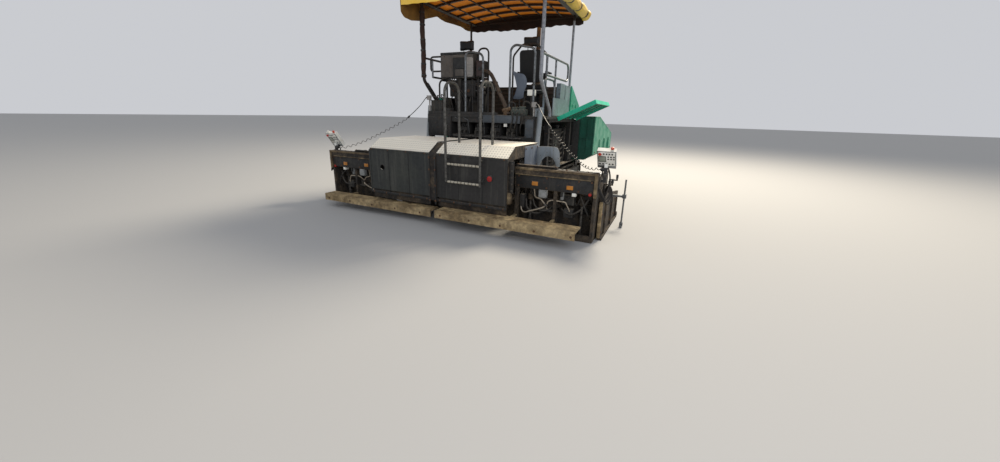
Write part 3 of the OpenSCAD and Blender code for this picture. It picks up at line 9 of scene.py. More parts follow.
# %% Load the frame
import bpy
import bmesh
import json
from math import atan2, copysign, cos, exp, pi, radians, sin, sqrt, tan
from mathutils import Matrix, Vector
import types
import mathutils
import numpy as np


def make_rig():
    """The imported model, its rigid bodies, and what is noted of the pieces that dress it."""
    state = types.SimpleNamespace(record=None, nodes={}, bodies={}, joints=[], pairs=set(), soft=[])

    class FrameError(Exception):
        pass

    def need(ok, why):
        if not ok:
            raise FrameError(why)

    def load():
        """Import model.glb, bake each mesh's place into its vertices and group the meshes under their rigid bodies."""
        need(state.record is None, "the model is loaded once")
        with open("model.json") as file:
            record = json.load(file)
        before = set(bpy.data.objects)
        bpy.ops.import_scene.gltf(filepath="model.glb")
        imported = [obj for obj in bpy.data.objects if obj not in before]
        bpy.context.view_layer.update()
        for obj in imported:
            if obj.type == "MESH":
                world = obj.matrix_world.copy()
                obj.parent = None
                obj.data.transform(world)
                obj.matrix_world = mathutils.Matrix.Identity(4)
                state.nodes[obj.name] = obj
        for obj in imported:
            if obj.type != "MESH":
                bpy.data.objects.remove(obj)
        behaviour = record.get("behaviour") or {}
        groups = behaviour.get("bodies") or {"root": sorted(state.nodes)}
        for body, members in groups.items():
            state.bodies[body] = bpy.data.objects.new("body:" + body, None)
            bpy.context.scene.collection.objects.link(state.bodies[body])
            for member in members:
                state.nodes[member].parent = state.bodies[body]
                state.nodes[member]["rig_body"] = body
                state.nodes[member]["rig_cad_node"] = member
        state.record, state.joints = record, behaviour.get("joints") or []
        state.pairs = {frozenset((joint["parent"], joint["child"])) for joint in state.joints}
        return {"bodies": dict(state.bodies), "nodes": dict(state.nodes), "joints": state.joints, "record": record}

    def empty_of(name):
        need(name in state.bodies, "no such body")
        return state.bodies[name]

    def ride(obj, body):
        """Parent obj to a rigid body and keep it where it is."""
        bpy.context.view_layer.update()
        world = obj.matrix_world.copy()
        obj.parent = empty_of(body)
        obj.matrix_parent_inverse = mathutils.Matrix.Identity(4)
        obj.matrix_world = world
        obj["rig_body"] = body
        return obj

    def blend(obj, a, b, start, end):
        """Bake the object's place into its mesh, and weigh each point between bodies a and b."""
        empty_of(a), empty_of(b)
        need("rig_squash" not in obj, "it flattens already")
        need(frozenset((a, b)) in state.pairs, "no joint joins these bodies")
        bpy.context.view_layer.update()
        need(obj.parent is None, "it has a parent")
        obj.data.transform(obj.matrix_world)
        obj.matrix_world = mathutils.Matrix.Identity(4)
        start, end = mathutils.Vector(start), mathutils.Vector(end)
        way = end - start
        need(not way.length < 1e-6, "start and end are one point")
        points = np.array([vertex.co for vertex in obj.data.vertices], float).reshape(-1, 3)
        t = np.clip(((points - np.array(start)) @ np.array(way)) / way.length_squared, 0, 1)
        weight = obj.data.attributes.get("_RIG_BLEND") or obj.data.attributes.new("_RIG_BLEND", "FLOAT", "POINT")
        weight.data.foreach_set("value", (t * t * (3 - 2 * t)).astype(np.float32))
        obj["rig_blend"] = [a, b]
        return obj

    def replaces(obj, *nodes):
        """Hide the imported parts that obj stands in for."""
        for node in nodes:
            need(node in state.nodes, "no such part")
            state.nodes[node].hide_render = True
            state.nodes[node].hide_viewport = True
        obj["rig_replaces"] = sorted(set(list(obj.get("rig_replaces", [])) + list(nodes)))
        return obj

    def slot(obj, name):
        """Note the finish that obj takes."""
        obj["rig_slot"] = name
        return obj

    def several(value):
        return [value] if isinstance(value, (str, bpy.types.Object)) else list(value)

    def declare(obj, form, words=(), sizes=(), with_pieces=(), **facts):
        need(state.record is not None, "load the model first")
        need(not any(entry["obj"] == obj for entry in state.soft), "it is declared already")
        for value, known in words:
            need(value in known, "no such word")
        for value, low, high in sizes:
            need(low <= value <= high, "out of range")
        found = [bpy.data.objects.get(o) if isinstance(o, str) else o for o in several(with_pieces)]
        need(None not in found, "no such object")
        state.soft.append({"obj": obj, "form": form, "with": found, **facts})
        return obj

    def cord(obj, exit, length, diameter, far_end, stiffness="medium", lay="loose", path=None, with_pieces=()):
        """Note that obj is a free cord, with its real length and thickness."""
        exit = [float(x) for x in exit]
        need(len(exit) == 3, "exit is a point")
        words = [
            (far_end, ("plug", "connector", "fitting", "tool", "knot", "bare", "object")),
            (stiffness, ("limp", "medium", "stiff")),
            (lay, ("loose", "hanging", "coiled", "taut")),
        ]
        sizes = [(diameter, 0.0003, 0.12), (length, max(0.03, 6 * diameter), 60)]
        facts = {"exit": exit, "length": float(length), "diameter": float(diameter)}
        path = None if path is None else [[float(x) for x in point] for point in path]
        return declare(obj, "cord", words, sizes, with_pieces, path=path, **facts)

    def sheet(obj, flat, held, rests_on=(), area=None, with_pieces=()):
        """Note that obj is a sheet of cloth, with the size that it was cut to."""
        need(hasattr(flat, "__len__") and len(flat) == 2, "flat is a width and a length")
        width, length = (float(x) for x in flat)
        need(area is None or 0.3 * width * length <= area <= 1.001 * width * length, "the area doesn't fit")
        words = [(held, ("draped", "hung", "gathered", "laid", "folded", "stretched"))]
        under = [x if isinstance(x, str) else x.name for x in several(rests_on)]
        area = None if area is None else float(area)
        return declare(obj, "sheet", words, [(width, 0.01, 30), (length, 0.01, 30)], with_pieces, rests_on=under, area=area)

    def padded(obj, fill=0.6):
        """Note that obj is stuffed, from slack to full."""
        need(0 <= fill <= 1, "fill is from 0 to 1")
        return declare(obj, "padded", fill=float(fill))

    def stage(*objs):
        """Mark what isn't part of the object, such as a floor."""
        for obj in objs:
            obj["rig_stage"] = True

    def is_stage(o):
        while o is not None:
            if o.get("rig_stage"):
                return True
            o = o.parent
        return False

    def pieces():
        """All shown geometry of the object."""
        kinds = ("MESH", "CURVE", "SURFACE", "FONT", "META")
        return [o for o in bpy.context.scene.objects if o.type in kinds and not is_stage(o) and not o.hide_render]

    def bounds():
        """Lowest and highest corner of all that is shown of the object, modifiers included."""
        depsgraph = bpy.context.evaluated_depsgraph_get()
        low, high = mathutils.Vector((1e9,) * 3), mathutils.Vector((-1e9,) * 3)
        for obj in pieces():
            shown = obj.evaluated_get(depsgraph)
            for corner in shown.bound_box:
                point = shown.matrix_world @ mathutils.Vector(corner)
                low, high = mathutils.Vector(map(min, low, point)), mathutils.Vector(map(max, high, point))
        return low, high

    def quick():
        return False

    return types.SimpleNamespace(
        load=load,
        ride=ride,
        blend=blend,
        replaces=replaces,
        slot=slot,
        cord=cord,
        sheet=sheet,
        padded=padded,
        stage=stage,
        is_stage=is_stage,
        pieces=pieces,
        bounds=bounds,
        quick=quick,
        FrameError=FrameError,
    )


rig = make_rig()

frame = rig.load()
cad_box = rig.bounds()
print("CAD box", cad_box)

# %% [markdown]
# ## The camera
#
# The photograph was taken by somebody standing behind the right end of the screed with a wide lens, at
# eye height. A lens of 13 mm on a 36 mm film gives its strong perspective. The tiny shift puts the point
# that the lens looks at a little above the middle of the picture, as in the photograph.

# %% Camera
camera_data = bpy.data.cameras.new("camera")
camera = bpy.data.objects.new("camera", camera_data)
bpy.context.scene.collection.objects.link(camera)
camera_data.lens = 13.0
camera_data.sensor_width = 36.0
camera_data.shift_y = -0.0105
camera_data.clip_end = 200.0
look = Matrix.Rotation(radians(25.0), 4, "Z")
look = look @ Matrix.Rotation(radians(73.5), 4, "X")
look = look @ Matrix.Rotation(radians(1.5), 4, "Z")
camera.matrix_world = Matrix.Translation((3.274, -7.74, 1.685)) @ look
bpy.context.scene.camera = camera
bpy.context.scene.view_settings.view_transform = "Standard"

# %% [markdown]
# ## Helpers for modelling
#
# An operator acts on everything that is selected, so each piece starts with nothing selected. A finished
# piece keeps its object at the origin, and its place is in its mesh, as on the CAD nodes.

# %% Selecting and placing
def select_none():
    """Clear the selection, so that an operator acts on nothing old."""
    bpy.ops.object.select_all(action="DESELECT")


def alone(obj):
    """Select one object only and make it active."""
    select_none()
    obj.select_set(True)
    bpy.context.view_layer.objects.active = obj
    return obj


def settle(obj):
    """Put the object's place, turn and size into its mesh."""
    alone(obj)
    bpy.ops.object.transform_apply(location=True, rotation=True, scale=True)
    return obj


def modify(obj, kind, **settings):
    """Add one modifier, set it and apply it."""
    alone(obj)
    modifier = obj.modifiers.new(kind.lower(), kind)
    for key, value in settings.items():
        setattr(modifier, key, value)
    bpy.ops.object.modifier_apply(modifier=modifier.name)
    return obj


def round_edges(obj, width, steps=2):
    """Round every sharp edge, as a pressed or cast part has it."""
    return modify(obj, "BEVEL", width=width, segments=steps, limit_method="ANGLE", angle_limit=radians(35),
        harden_normals=False)


pieces = []


def extension_of(side):
    """The extension at one side: 1 is the right, -1 the left."""
    return "extension_right" if side > 0 else "extension_left"


def finish(obj, material, body="tractor", slot=None, smooth=35):
    """Give a piece its material, its slot in the record and the body that it rides on.

    Where no slot is named, the piece takes the one that its material mostly belongs to."""
    alone(obj)
    if smooth:
        bpy.ops.object.shade_smooth_by_angle(angle=radians(smooth))
    obj.data.materials.clear()
    obj.data.materials.append(material)
    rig.slot(obj, slot or usual_slot[material.name])
    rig.ride(obj, body)
    pieces.append(obj.name)
    return obj


# %% Plates, bars and bent tubes
def plate(name, low, high, edge=0.004, steps=2):
    """A box between two opposite corners, in any order, with rounded edges."""
    low, high = (Vector(pick(pair) for pair in zip(low, high)) for pick in (min, max))
    select_none()
    bpy.ops.mesh.primitive_cube_add(size=1, location=(low + high) / 2)
    obj = bpy.context.object
    obj.name = obj.data.name = name
    obj.scale = high - low
    settle(obj)
    return round_edges(obj, edge, steps) if edge else obj


def bar(name, start, end, d, sides=20, edge=0.0, d_end=None):
    """A round bar between two points, or a cone where the far end has its own diameter."""
    start, end = Vector(start), Vector(end)
    span = end - start
    select_none()
    turn = span.to_track_quat("Z", "Y").to_euler()
    if d_end is None:
        bpy.ops.mesh.primitive_cylinder_add(vertices=sides, radius=d / 2, depth=span.length,
            location=(start + end) / 2, rotation=turn)
    else:
        bpy.ops.mesh.primitive_cone_add(vertices=sides, radius1=d / 2, radius2=d_end / 2, depth=span.length,
            location=(start + end) / 2, rotation=turn)
    obj = bpy.context.object
    obj.name = obj.data.name = name
    settle(obj)
    return round_edges(obj, edge) if edge else obj


def hose(name, points, d, sides=10, bend=None, caps=True):
    """A hose or a pipe along points: smooth where bend is None, else straight runs with round bends."""
    points = [Vector(p) for p in points]
    if bend:
        points = bent_route(points, bend)
    select_none()
    bpy.ops.curve.primitive_bezier_curve_add(enter_editmode=False, location=(0, 0, 0))
    obj = bpy.context.object
    obj.name = obj.data.name = name
    curve = obj.data
    curve.dimensions = "3D"
    spline = curve.splines[0]
    spline.bezier_points.add(len(points) - 2)
    for knot, point in zip(spline.bezier_points, points):
        knot.co = point
        knot.handle_left_type = knot.handle_right_type = "VECTOR" if bend else "AUTO"
    curve.resolution_u = 1 if bend else 6
    curve.bevel_depth = d / 2
    curve.bevel_resolution = max(0, sides // 4 - 1)
    curve.use_fill_caps = caps
    alone(obj)
    bpy.ops.object.convert(target="MESH")
    return bpy.context.object


def bent_route(points, radius, steps=5):
    """Replace each inner corner of a route by an arc."""
    route = [points[0]]
    for before, corner, after in zip(points, points[1:], points[2:]):
        u, v = (before - corner).normalized(), (after - corner).normalized()
        turn = pi - u.angle(v)
        if turn < 0.02:
            continue
        cut = min(radius * tan(turn / 2), (before - corner).length * 0.49, (after - corner).length * 0.49)
        r = cut / tan(turn / 2)
        centre = corner + (u + v).normalized() * r / cos(turn / 2)
        first, last = corner + u * cut - centre, corner + v * cut - centre
        for i in range(steps + 1):
            way = first.normalized().slerp(last.normalized(), i / steps)
            route.append(centre + r * way)
    route.append(points[-1])
    return route


def outlined(name, outline, y, depth, edge=0.003, soft=True):
    """A flat plate cut to an outline in X and Z, with a real thickness; soft rounds the outline's corners."""
    select_none()
    bpy.ops.mesh.primitive_circle_add(vertices=len(outline), radius=1, fill_type="NGON")
    obj = bpy.context.object
    obj.name = obj.data.name = name
    for vertex, (x, z) in zip(obj.data.vertices, outline):
        vertex.co = (x, y, z)
    if soft:
        modify(obj, "SUBSURF", levels=2, render_levels=2)
    modify(obj, "SOLIDIFY", thickness=depth, offset=0.0)
    outward(obj)
    return round_edges(obj, edge, 1) if edge else obj


def joined(name, parts):
    """Join several meshes into one piece."""
    select_none()
    for part in parts:
        part.select_set(True)
    bpy.context.view_layer.objects.active = parts[0]
    bpy.ops.object.join()
    obj = bpy.context.object
    obj.name = obj.data.name = name
    return obj


def copied(obj, name, move=(0, 0, 0), mirror_x=False):
    """A copy with its own mesh, moved, or mirrored to the other side of the machine."""
    alone(obj)
    bpy.ops.object.duplicate()
    twin = bpy.context.object
    twin.name = twin.data.name = name
    twin.parent = None
    twin.location = move
    if mirror_x:
        twin.scale = (-1, 1, 1)
    settle(twin)
    if mirror_x:
        outward(twin)
    return twin


def outward(obj):
    """Make every face point outwards."""
    alone(obj)
    bpy.ops.object.mode_set(mode="EDIT")
    bpy.ops.mesh.select_all(action="SELECT")
    bpy.ops.mesh.normals_make_consistent(inside=False)
    bpy.ops.object.mode_set(mode="OBJECT")
    return obj


def bolts(name, places, axis, d):
    """Hexagon bolt heads on washers, modelled once and copied to each place."""
    axis = Vector(axis).normalized()
    head = bar(name + "_head", (0, 0, 0), axis * d * 0.62, d * 1.7, sides=6, edge=d * 0.08)
    washer = bar(name + "_washer", (0, 0, 0), axis * d * 0.18, d * 2.3, sides=16)
    master = joined(name, [head, washer])
    made = [copied(master, name + "_copy", place) for place in places[1:]]
    master.location = places[0]
    settle(master)
    return joined(name, [master] + made)


def dress(name, parts, material, body="tractor", **more):
    """Join the parts to one piece and finish it."""
    return finish(joined(name, parts), material, body, **more)


def bolted(name, places, axis, d, material, body="tractor", **more):
    """One row of bolts as a finished piece."""
    return finish(bolts(name, places, axis, d), material, body, **more)

# %% [markdown]
# ## Finishes
#
# Each finish starts from the real one: enamel on steel, bare and zinc-coated steel, rubber, vinyl, coated
# cloth. A paver works in dust and hot tar, so nearly every enamel carries three more layers: a pale dust that
# lies on faces that look up, grey-brown runs down the upright faces, and small chips where the steel has
# rusted. The patterns are noises in the object's own coordinates, so they stay where they are in any view.

# %% Colours and nodes
def linear(code):
    """An sRGB hex colour as the linear values that a shader wants."""
    values = [int(code[i:i + 2], 16) / 255 for i in (1, 3, 5)]
    return [v / 12.92 if v <= 0.04045 else ((v + 0.055) / 1.055) ** 2.4 for v in values] + [1.0]


def add_node(tree, kind, values=None, links=None, **settings):
    """Add a node, set its options and input values, and link its inputs."""
    node = tree.nodes.new("ShaderNode" + kind)
    for key, value in settings.items():
        setattr(node, key, value)
    for key, value in (values or {}).items():
        node.inputs[key].default_value = value
    for key, value in (links or {}).items():
        tree.links.new(value, node.inputs[key])
    return node


def new_material(name, **values):
    """A material with one Principled shader whose constants are set on its own sockets."""
    material = bpy.data.materials.new(name)
    material.use_nodes = True
    shader = next(n for n in material.node_tree.nodes if n.type == "BSDF_PRINCIPLED")
    for key, value in values.items():
        shader.inputs[key.replace("_", " ")].default_value = value
    return material, material.node_tree, shader


def speckle(tree, coords, size_mm, low, high, detail=3.0, stretch=None, seed=0.0):
    """Noise of a real grain size, cut to a mask between two levels."""
    vector = coords.outputs["Object"]
    scale = 1000.0 / size_mm
    if stretch or seed:
        vector = add_node(tree, "Mapping", {"Scale": stretch or (1, 1, 1), "Location": (seed, seed, seed)},
            {"Vector": vector}).outputs["Vector"]
    noise = add_node(tree, "TexNoise", {"Scale": scale, "Detail": detail, "Roughness": 0.6}, {"Vector": vector})
    return add_node(tree, "MapRange", {"From Min": low, "From Max": high}, {"Value": noise.outputs["Fac"]})


def blend_colour(tree, mask, below, above):
    """Lay one colour over another where the mask says so."""
    mix = add_node(tree, "Mix", data_type="RGBA", clamp_factor=True)
    tree.links.new(mask, mix.inputs["Factor"])
    for socket, colour in ((mix.inputs["A"], below), (mix.inputs["B"], above)):
        if isinstance(colour, str):
            socket.default_value = linear(colour)
        else:
            tree.links.new(colour, socket)
    return mix.outputs["Result"]


def times(tree, a, b, operation="MULTIPLY"):
    """Multiply two masks, or a mask and a number."""
    node = add_node(tree, "Math", operation=operation, use_clamp=True)
    for i, value in enumerate((a, b)):
        if isinstance(value, (int, float)):
            node.inputs[i].default_value = value
        else:
            tree.links.new(value, node.inputs[i])
    return node.outputs[0]


def looks_up(tree, low=0.35, high=0.95):
    """A mask of the faces that look up, where dust and spilled mix come to rest, and where the cords carry a painted
    highlight; with limits below zero it marks faces that look down, for a painted shade.
    """
    geometry = add_node(tree, "NewGeometry")
    parts = add_node(tree, "SeparateXYZ", links={"Vector": geometry.outputs["Normal"]})
    return add_node(tree, "MapRange", {"From Min": low, "From Max": high}, {"Value": parts.outputs["Z"]})


def region(tree, coords, limits):
    """A mask of one box in the object's own coordinates, for a node that carries two finishes, or a lit and a shaded
    colour of one finish: painted light and painted shade.

    The limit called side is the distance from the machine's middle plane, the same to the left and right."""
    parts = add_node(tree, "SeparateXYZ", links={"Vector": coords.outputs["Object"]})
    mask = None
    for axis, (low, high) in limits.items():
        value = parts.outputs["X" if axis == "side" else axis]
        if axis == "side":
            value = add_node(tree, "Math", links={0: value}, operation="ABSOLUTE").outputs[0]
        inside = add_node(tree, "Math", {1: (low + high) / 2, 2: (high - low) / 2}, {0: value},
            operation="COMPARE").outputs[0]
        mask = times(tree, mask, inside) if mask else inside
    return mask


def site_enamel(name, paint, faded, dust="#a39a88", runs="#6d665b", rust="#4a3222", gloss=0.45, dust_share=0.7,
    run_share=0.45, chips=0.62, patch_mm=420, seed=0.0, other=None, below=None, tread=False):
    """Sprayed enamel on steel that works on a building site: faded patches, runs, dust and chips.

    The colour called below is a painted shade on faces that look down. A tread pattern stands on faces that look up."""
    material, tree, shader = new_material(name, IOR=1.5, Coat_Weight=0.0)
    coords = add_node(tree, "TexCoord")
    patches = speckle(tree, coords, patch_mm, 0.38, 0.66, seed=seed)
    colour = blend_colour(tree, patches.outputs[0], paint, faded)
    if other:
        second = blend_colour(tree, patches.outputs[0], other[0], other[1])
        colour = blend_colour(tree, region(tree, coords, other[2]), colour, second)
    streaks = speckle(tree, coords, 60, 0.52, 0.72, stretch=(1, 1, 0.06), seed=seed + 3)
    colour = blend_colour(tree, times(tree, streaks.outputs[0], run_share), colour, runs)
    grit = speckle(tree, coords, 45, 0.3, 0.75, detail=6, seed=seed + 7)
    dusty = times(tree, looks_up(tree).outputs[0], times(tree, grit.outputs[0], dust_share, "ADD"))
    colour = blend_colour(tree, times(tree, dusty, min(1.0, dust_share + 0.2)), colour, dust)
    if tread:
        waves = [add_node(tree, "TexWave", {"Scale": 7.0}, {"Vector": coords.outputs["Object"]}, wave_type="BANDS",
            bands_direction=way).outputs["Fac"] for way in ("X", "Y")]
        marks = add_node(tree, "MapRange", {"From Min": 0.35, "From Max": 0.55, "To Max": 0.4},
            {"Value": times(tree, *waves)})
        colour = blend_colour(tree, times(tree, marks.outputs[0], looks_up(tree).outputs[0]), colour, "#5d574c")
    if below:
        # Faces that look down take a painted shade, the colour called below.
        colour = blend_colour(tree, looks_up(tree, -0.15, -0.5).outputs[0], colour, below)
    chip = speckle(tree, coords, 30, chips, chips + 0.04, detail=8, seed=seed + 11)
    colour = blend_colour(tree, chip.outputs[0], colour, rust)
    tree.links.new(colour, shader.inputs["Base Color"])
    rough = add_node(tree, "MapRange", {"To Min": gloss, "To Max": min(1.0, gloss + 0.4)},
        {"Value": grit.outputs[0]})
    tree.links.new(rough.outputs[0], shader.inputs["Roughness"])
    bump = add_node(tree, "Bump", {"Strength": 0.15, "Distance": 0.002}, {"Height": grit.outputs[0]})
    tree.links.new(bump.outputs["Normal"], shader.inputs["Normal"])
    return material


# %% Enamels
# Frame and screed paint: a grey enamel that tar and dust have turned nearly black.
dark_enamel = site_enamel("dark_grey_enamel", "#191a1b", "#272624", dust="#786f60", runs="#4a443c", gloss=0.5,
    run_share=0.35, dust_share=0.55)
# The hoods: the same grey, streaked by what was washed down them.
hood_enamel = site_enamel("streaked_hood_enamel", "#252827", "#343630", dust="#fff8e6", runs="#54524b",
    rust="#5a3c22", gloss=0.42, run_share=0.45, patch_mm=600, dust_share=0.82, chips=0.66, tread=True,
    other=("#1d1c1a", "#2a2826", {"X": (0.06, 1.4)}))
# The body's blue-green enamel: still glossy on the flaps. The wings are a dark green, paler on their outer faces:
# painted shade and painted light.
green_enamel = site_enamel("green_enamel", "#067a60", "#1c9277", dust="#9fb3a0", runs="#0b5f4d", rust="#5b4a35",
    gloss=0.3, dust_share=0.35, run_share=0.3, chips=0.7)
# The flaps' faces that look down take a painted shade.
flap_green = site_enamel("glossy_flap_enamel", "#10b08a", "#34c39e", dust="#9cc7b2", runs="#0b6f5a", rust="#5b4a35",
    gloss=0.3, dust_share=0.3, run_share=0.25, chips=0.7, below="#082f27")
# The wings' dark green is a painted shade, and the paler green on their outer side faces is a painted light.
wing_green_lit_and_shaded = site_enamel("chalky_green_enamel", "#053f33", "#0b5344", dust="#544e44", runs="#2a6353", gloss=0.5,
    run_share=0.25, chips=0.68, patch_mm=260, other=("#2f8168", "#649a84", {"side": (1.585, 1.7)}))
pale_enamel = site_enamel("pale_grey_enamel", "#7f878c", "#969b9c", dust="#b7ae9c", runs="#6a675f", gloss=0.45,
    chips=0.64)
# The operator's beam and shields: a blue-grey enamel.
slate_enamel = site_enamel("slate_blue_enamel", "#3d4349", "#4f565c", dust="#9a9284", runs="#2b2d2f", gloss=0.42,
    dust_share=0.6, chips=0.66, seed=2.0)
# The operator's shields: a paler blue-grey.
shield_enamel = site_enamel("blue_grey_shield_enamel", "#5b6572", "#6b7480", dust="#a49c8c", runs="#3f454c",
    gloss=0.4, dust_share=0.4, chips=0.68, seed=8.0)
# The engine hood's top: the same green under a thick brown dust, so that hardly any green shows.
dusty_hood = site_enamel("dust_covered_hood_enamel", "#3b3129", "#4e4033", dust="#8a7860", runs="#2c2420",
    gloss=0.6, dust_share=0.7, chips=0.7, seed=6.0)
body_green = site_enamel("green_enamel_dusty_rear", "#067a60", "#1c9277", dust="#9fb3a0", runs="#0b5f4d",
    rust="#5b4a35", gloss=0.3, dust_share=0.35, run_share=0.3, chips=0.7,
    other=("#33291f", "#45372b", {"X": (-1.17, 1.17), "Y": (-0.1, 0.075)}))
# The platform's side consoles are blue-grey above the deck, the rest of the platform is dark.
platform_enamel = site_enamel("platform_enamel", "#191a1b", "#272624", dust="#786f60", runs="#4a443c", gloss=0.5,
    run_share=0.35, dust_share=0.55, other=("#5c686e", "#76828a", {"X": (0.9, 1.3), "Z": (1.67, 2.4)}))
# The small boxes beside the cabinet: a grey that has turned brownish mauve.
mauve_enamel = site_enamel("brown_mauve_enamel", "#3f3231", "#544644", dust="#a39489", runs="#2a2221", gloss=0.55,
    chips=0.64, seed=9.0)
valve_paint = site_enamel("grey_green_valve_paint", "#3d453f", "#55594f", dust="#a9a08c", runs="#2b2f2a", gloss=0.5,
    dust_share=0.6, chips=0.6, seed=12.0)
tan_enamel = site_enamel("heat_tanned_enamel", "#6b4c2c", "#5b4630", dust="#9c8768", runs="#35281c", gloss=0.5,
    chips=0.6, seed=4.0)
# Castings of the engine and the drive cases, in a dull dark enamel.
engine_enamel = site_enamel("dull_engine_enamel", "#242423", "#33312d", dust="#6d6557", gloss=0.6, dust_share=0.5)


# %% [markdown]
# ## Steel, rubber, vinyl and cloth
#
# Steel that touches the mix is never painted for long. It wears bright where it slides, rusts where it rests
# and takes on a crust of dried asphalt. Tubes for hands are zinc-coated and keep a soft grey shine.

# %% Metals
def crusted_steel(name, steel="#2b2621", crust="#0f0e0d", sand="#594c3b", share=0.5):
    """Steel under dried asphalt: dark crust with sand-coloured wear between."""
    material, tree, shader = new_material(name)
    coords = add_node(tree, "TexCoord")
    lumps = speckle(tree, coords, 70, 0.42, 0.58, detail=8)
    wear = speckle(tree, coords, 220, 0.4, 0.62, detail=5, seed=5)
    colour = blend_colour(tree, wear.outputs[0], steel, sand)
    colour = blend_colour(tree, times(tree, lumps.outputs[0], share, "ADD" if share > 0.6 else "MULTIPLY"), colour,
        crust)
    tree.links.new(colour, shader.inputs["Base Color"])
    shader.inputs["Roughness"].default_value = 0.8
    grain = speckle(tree, coords, 12, 0.2, 0.8, detail=6)
    height = add_node(tree, "Math", {1: 3.0}, {0: lumps.outputs[0]}, operation="MULTIPLY")
    height = add_node(tree, "Math", {}, {0: height.outputs[0], 1: grain.outputs[0]}, operation="ADD")
    bump = add_node(tree, "Bump", {"Strength": 0.6, "Distance": 0.004}, {"Height": height.outputs[0]})
    tree.links.new(bump.outputs["Normal"], shader.inputs["Normal"])
    return material


def worked_metal(name, colour, stain, rough=0.4, share=0.5, grain_mm=40, metallic=1.0, other=None):
    """Bare or coated steel with stained patches that are rougher than the rest."""
    material, tree, shader = new_material(name, Metallic=metallic)
    coords = add_node(tree, "TexCoord")
    patches = speckle(tree, coords, grain_mm, 0.42, 0.68, detail=6)
    stained = times(tree, patches.outputs[0], share)
    shade = blend_colour(tree, stained, colour, stain)
    if other:
        shade = blend_colour(tree, region(tree, coords, other[2]), shade,
            blend_colour(tree, stained, other[0], other[1]))
    tree.links.new(shade, shader.inputs["Base Color"])
    roughness = add_node(tree, "MapRange", {"To Min": rough, "To Max": min(0.95, rough + 0.35)},
        {"Value": patches.outputs[0]})
    tree.links.new(roughness.outputs[0], shader.inputs["Roughness"])
    return material


tarred_steel = crusted_steel("tar_crusted_steel")
sandy_steel = crusted_steel("sandy_footboard_steel", steel="#86714f", sand="#bda67c", crust="#2f281f", share=0.4)
rail_steel = crusted_steel("worn_rail_steel", steel="#5c4c37", sand="#8d7b5b", crust="#251f19", share=0.45)
ladder_tube = worked_metal("worn_ladder_tube", "#66645f", "#3a3733", rough=0.5, share=0.6, metallic=0.7)
zinc_tube = worked_metal("zinc_coated_tube", "#7e8183", "#4d4c49", rough=0.42, share=0.6)
chrome = worked_metal("hard_chrome", "#c9cccf", "#8c8c88", rough=0.12, share=0.35)
bare_steel = worked_metal("rolled_bare_steel", "#6b6863", "#3a3028", rough=0.45, share=0.7)
black_tube = worked_metal("black_painted_tube", "#1d1c1b", "#4a3e30", rough=0.45, share=0.45, metallic=0.0)
# The frame is near black and the posts at the right are pale grey: the dark of the left posts is painted shade.
canopy_tube = worked_metal("canopy_post_tube", "#201c1a", "#463529", rough=0.45, share=0.6, metallic=0.1,
    other=("#8b8e94", "#5c5d61", {"X": (0.9, 1.4), "Y": (-2.3, 0.5), "Z": (1.6, 3.46)}))
track_steel = worked_metal("worn_track_steel", "#4a453e", "#2a2622", rough=0.5, share=0.8, grain_mm=90)
rusty_steel = worked_metal("rust_browned_steel", "#4d3422", "#6d5036", rough=0.7, share=0.8, metallic=0.0,
    grain_mm=120)

# %% Rubber, plastic and vinyl
def soft_finish(name, colour, worn, rough=0.6, grain_mm=3.0, bump=0.2, dust="#8f8677", dust_share=0.3, other=None,
    **values):
    """Rubber, moulded plastic or vinyl: a fine grain, rubbed patches and a little dust on top, which on the cords is
    also a painted highlight.
    """
    material, tree, shader = new_material(name, **values)
    coords = add_node(tree, "TexCoord")
    rubbed = speckle(tree, coords, 90, 0.4, 0.68, detail=4)
    shade = blend_colour(tree, rubbed.outputs[0], colour, worn)
    if other:
        shade = blend_colour(tree, region(tree, coords, other[1]), shade, other[0])
    dusty = times(tree, looks_up(tree).outputs[0], dust_share)
    tree.links.new(blend_colour(tree, dusty, shade, dust), shader.inputs["Base Color"])
    shader.inputs["Roughness"].default_value = rough
    grain = speckle(tree, coords, grain_mm, 0.3, 0.7, detail=2)
    relief = add_node(tree, "Bump", {"Strength": bump, "Distance": 0.001}, {"Height": grain.outputs[0]})
    tree.links.new(relief.outputs["Normal"], shader.inputs["Normal"])
    return material


# Grains are drawn at 8 to 12 mm, coarser than the real 1 mm, so that they show from this distance.
seat_vinyl = soft_finish("black_seat_vinyl", "#0d0c0d", "#1b1a1a", rough=0.5, grain_mm=8, dust_share=0.3)
seat_shell = soft_finish("black_seat_shell", "#060607", "#0e0d0e", rough=0.6, grain_mm=10, dust_share=0.2)
# On the cords, the pale colour on faces that look up is dust and a painted highlight: it gives the coils their bright
# tops.
cord_rubber_dust_and_highlight = soft_finish("black_cord_rubber", "#121212", "#262523", rough=0.45, grain_mm=10, dust="#e4ddcd",
    dust_share=0.85)
pale_hose = soft_finish("dust_bleached_hose", "#8f8372", "#b3a691", rough=0.75, grain_mm=12, dust="#cfc3ac")
hose_rubber = soft_finish("dusty_hose_rubber", "#211f1d", "#3a352f", rough=0.7, grain_mm=10)
brown_hose = soft_finish("brown_wrapped_hose", "#3a2d22", "#57483a", rough=0.8, grain_mm=12)
pale_plastic = soft_finish("pale_moulded_plastic", "#f0f0e8", "#d9d6cb", rough=0.45, grain_mm=10, dust_share=0.2)
remote_plastic = soft_finish("remote_case_plastic", "#f0f0e8", "#d9d6cb", rough=0.45, grain_mm=10, dust_share=0.2,
    other=("#2c2b2a", {"Z": (0.5, 1.03)}))
grey_plastic = soft_finish("grey_moulded_plastic", "#8d8f8e", "#6f706d", rough=0.5, grain_mm=10)
dark_plastic = soft_finish("dark_moulded_plastic", "#1e1f20", "#343433", rough=0.5, grain_mm=10)
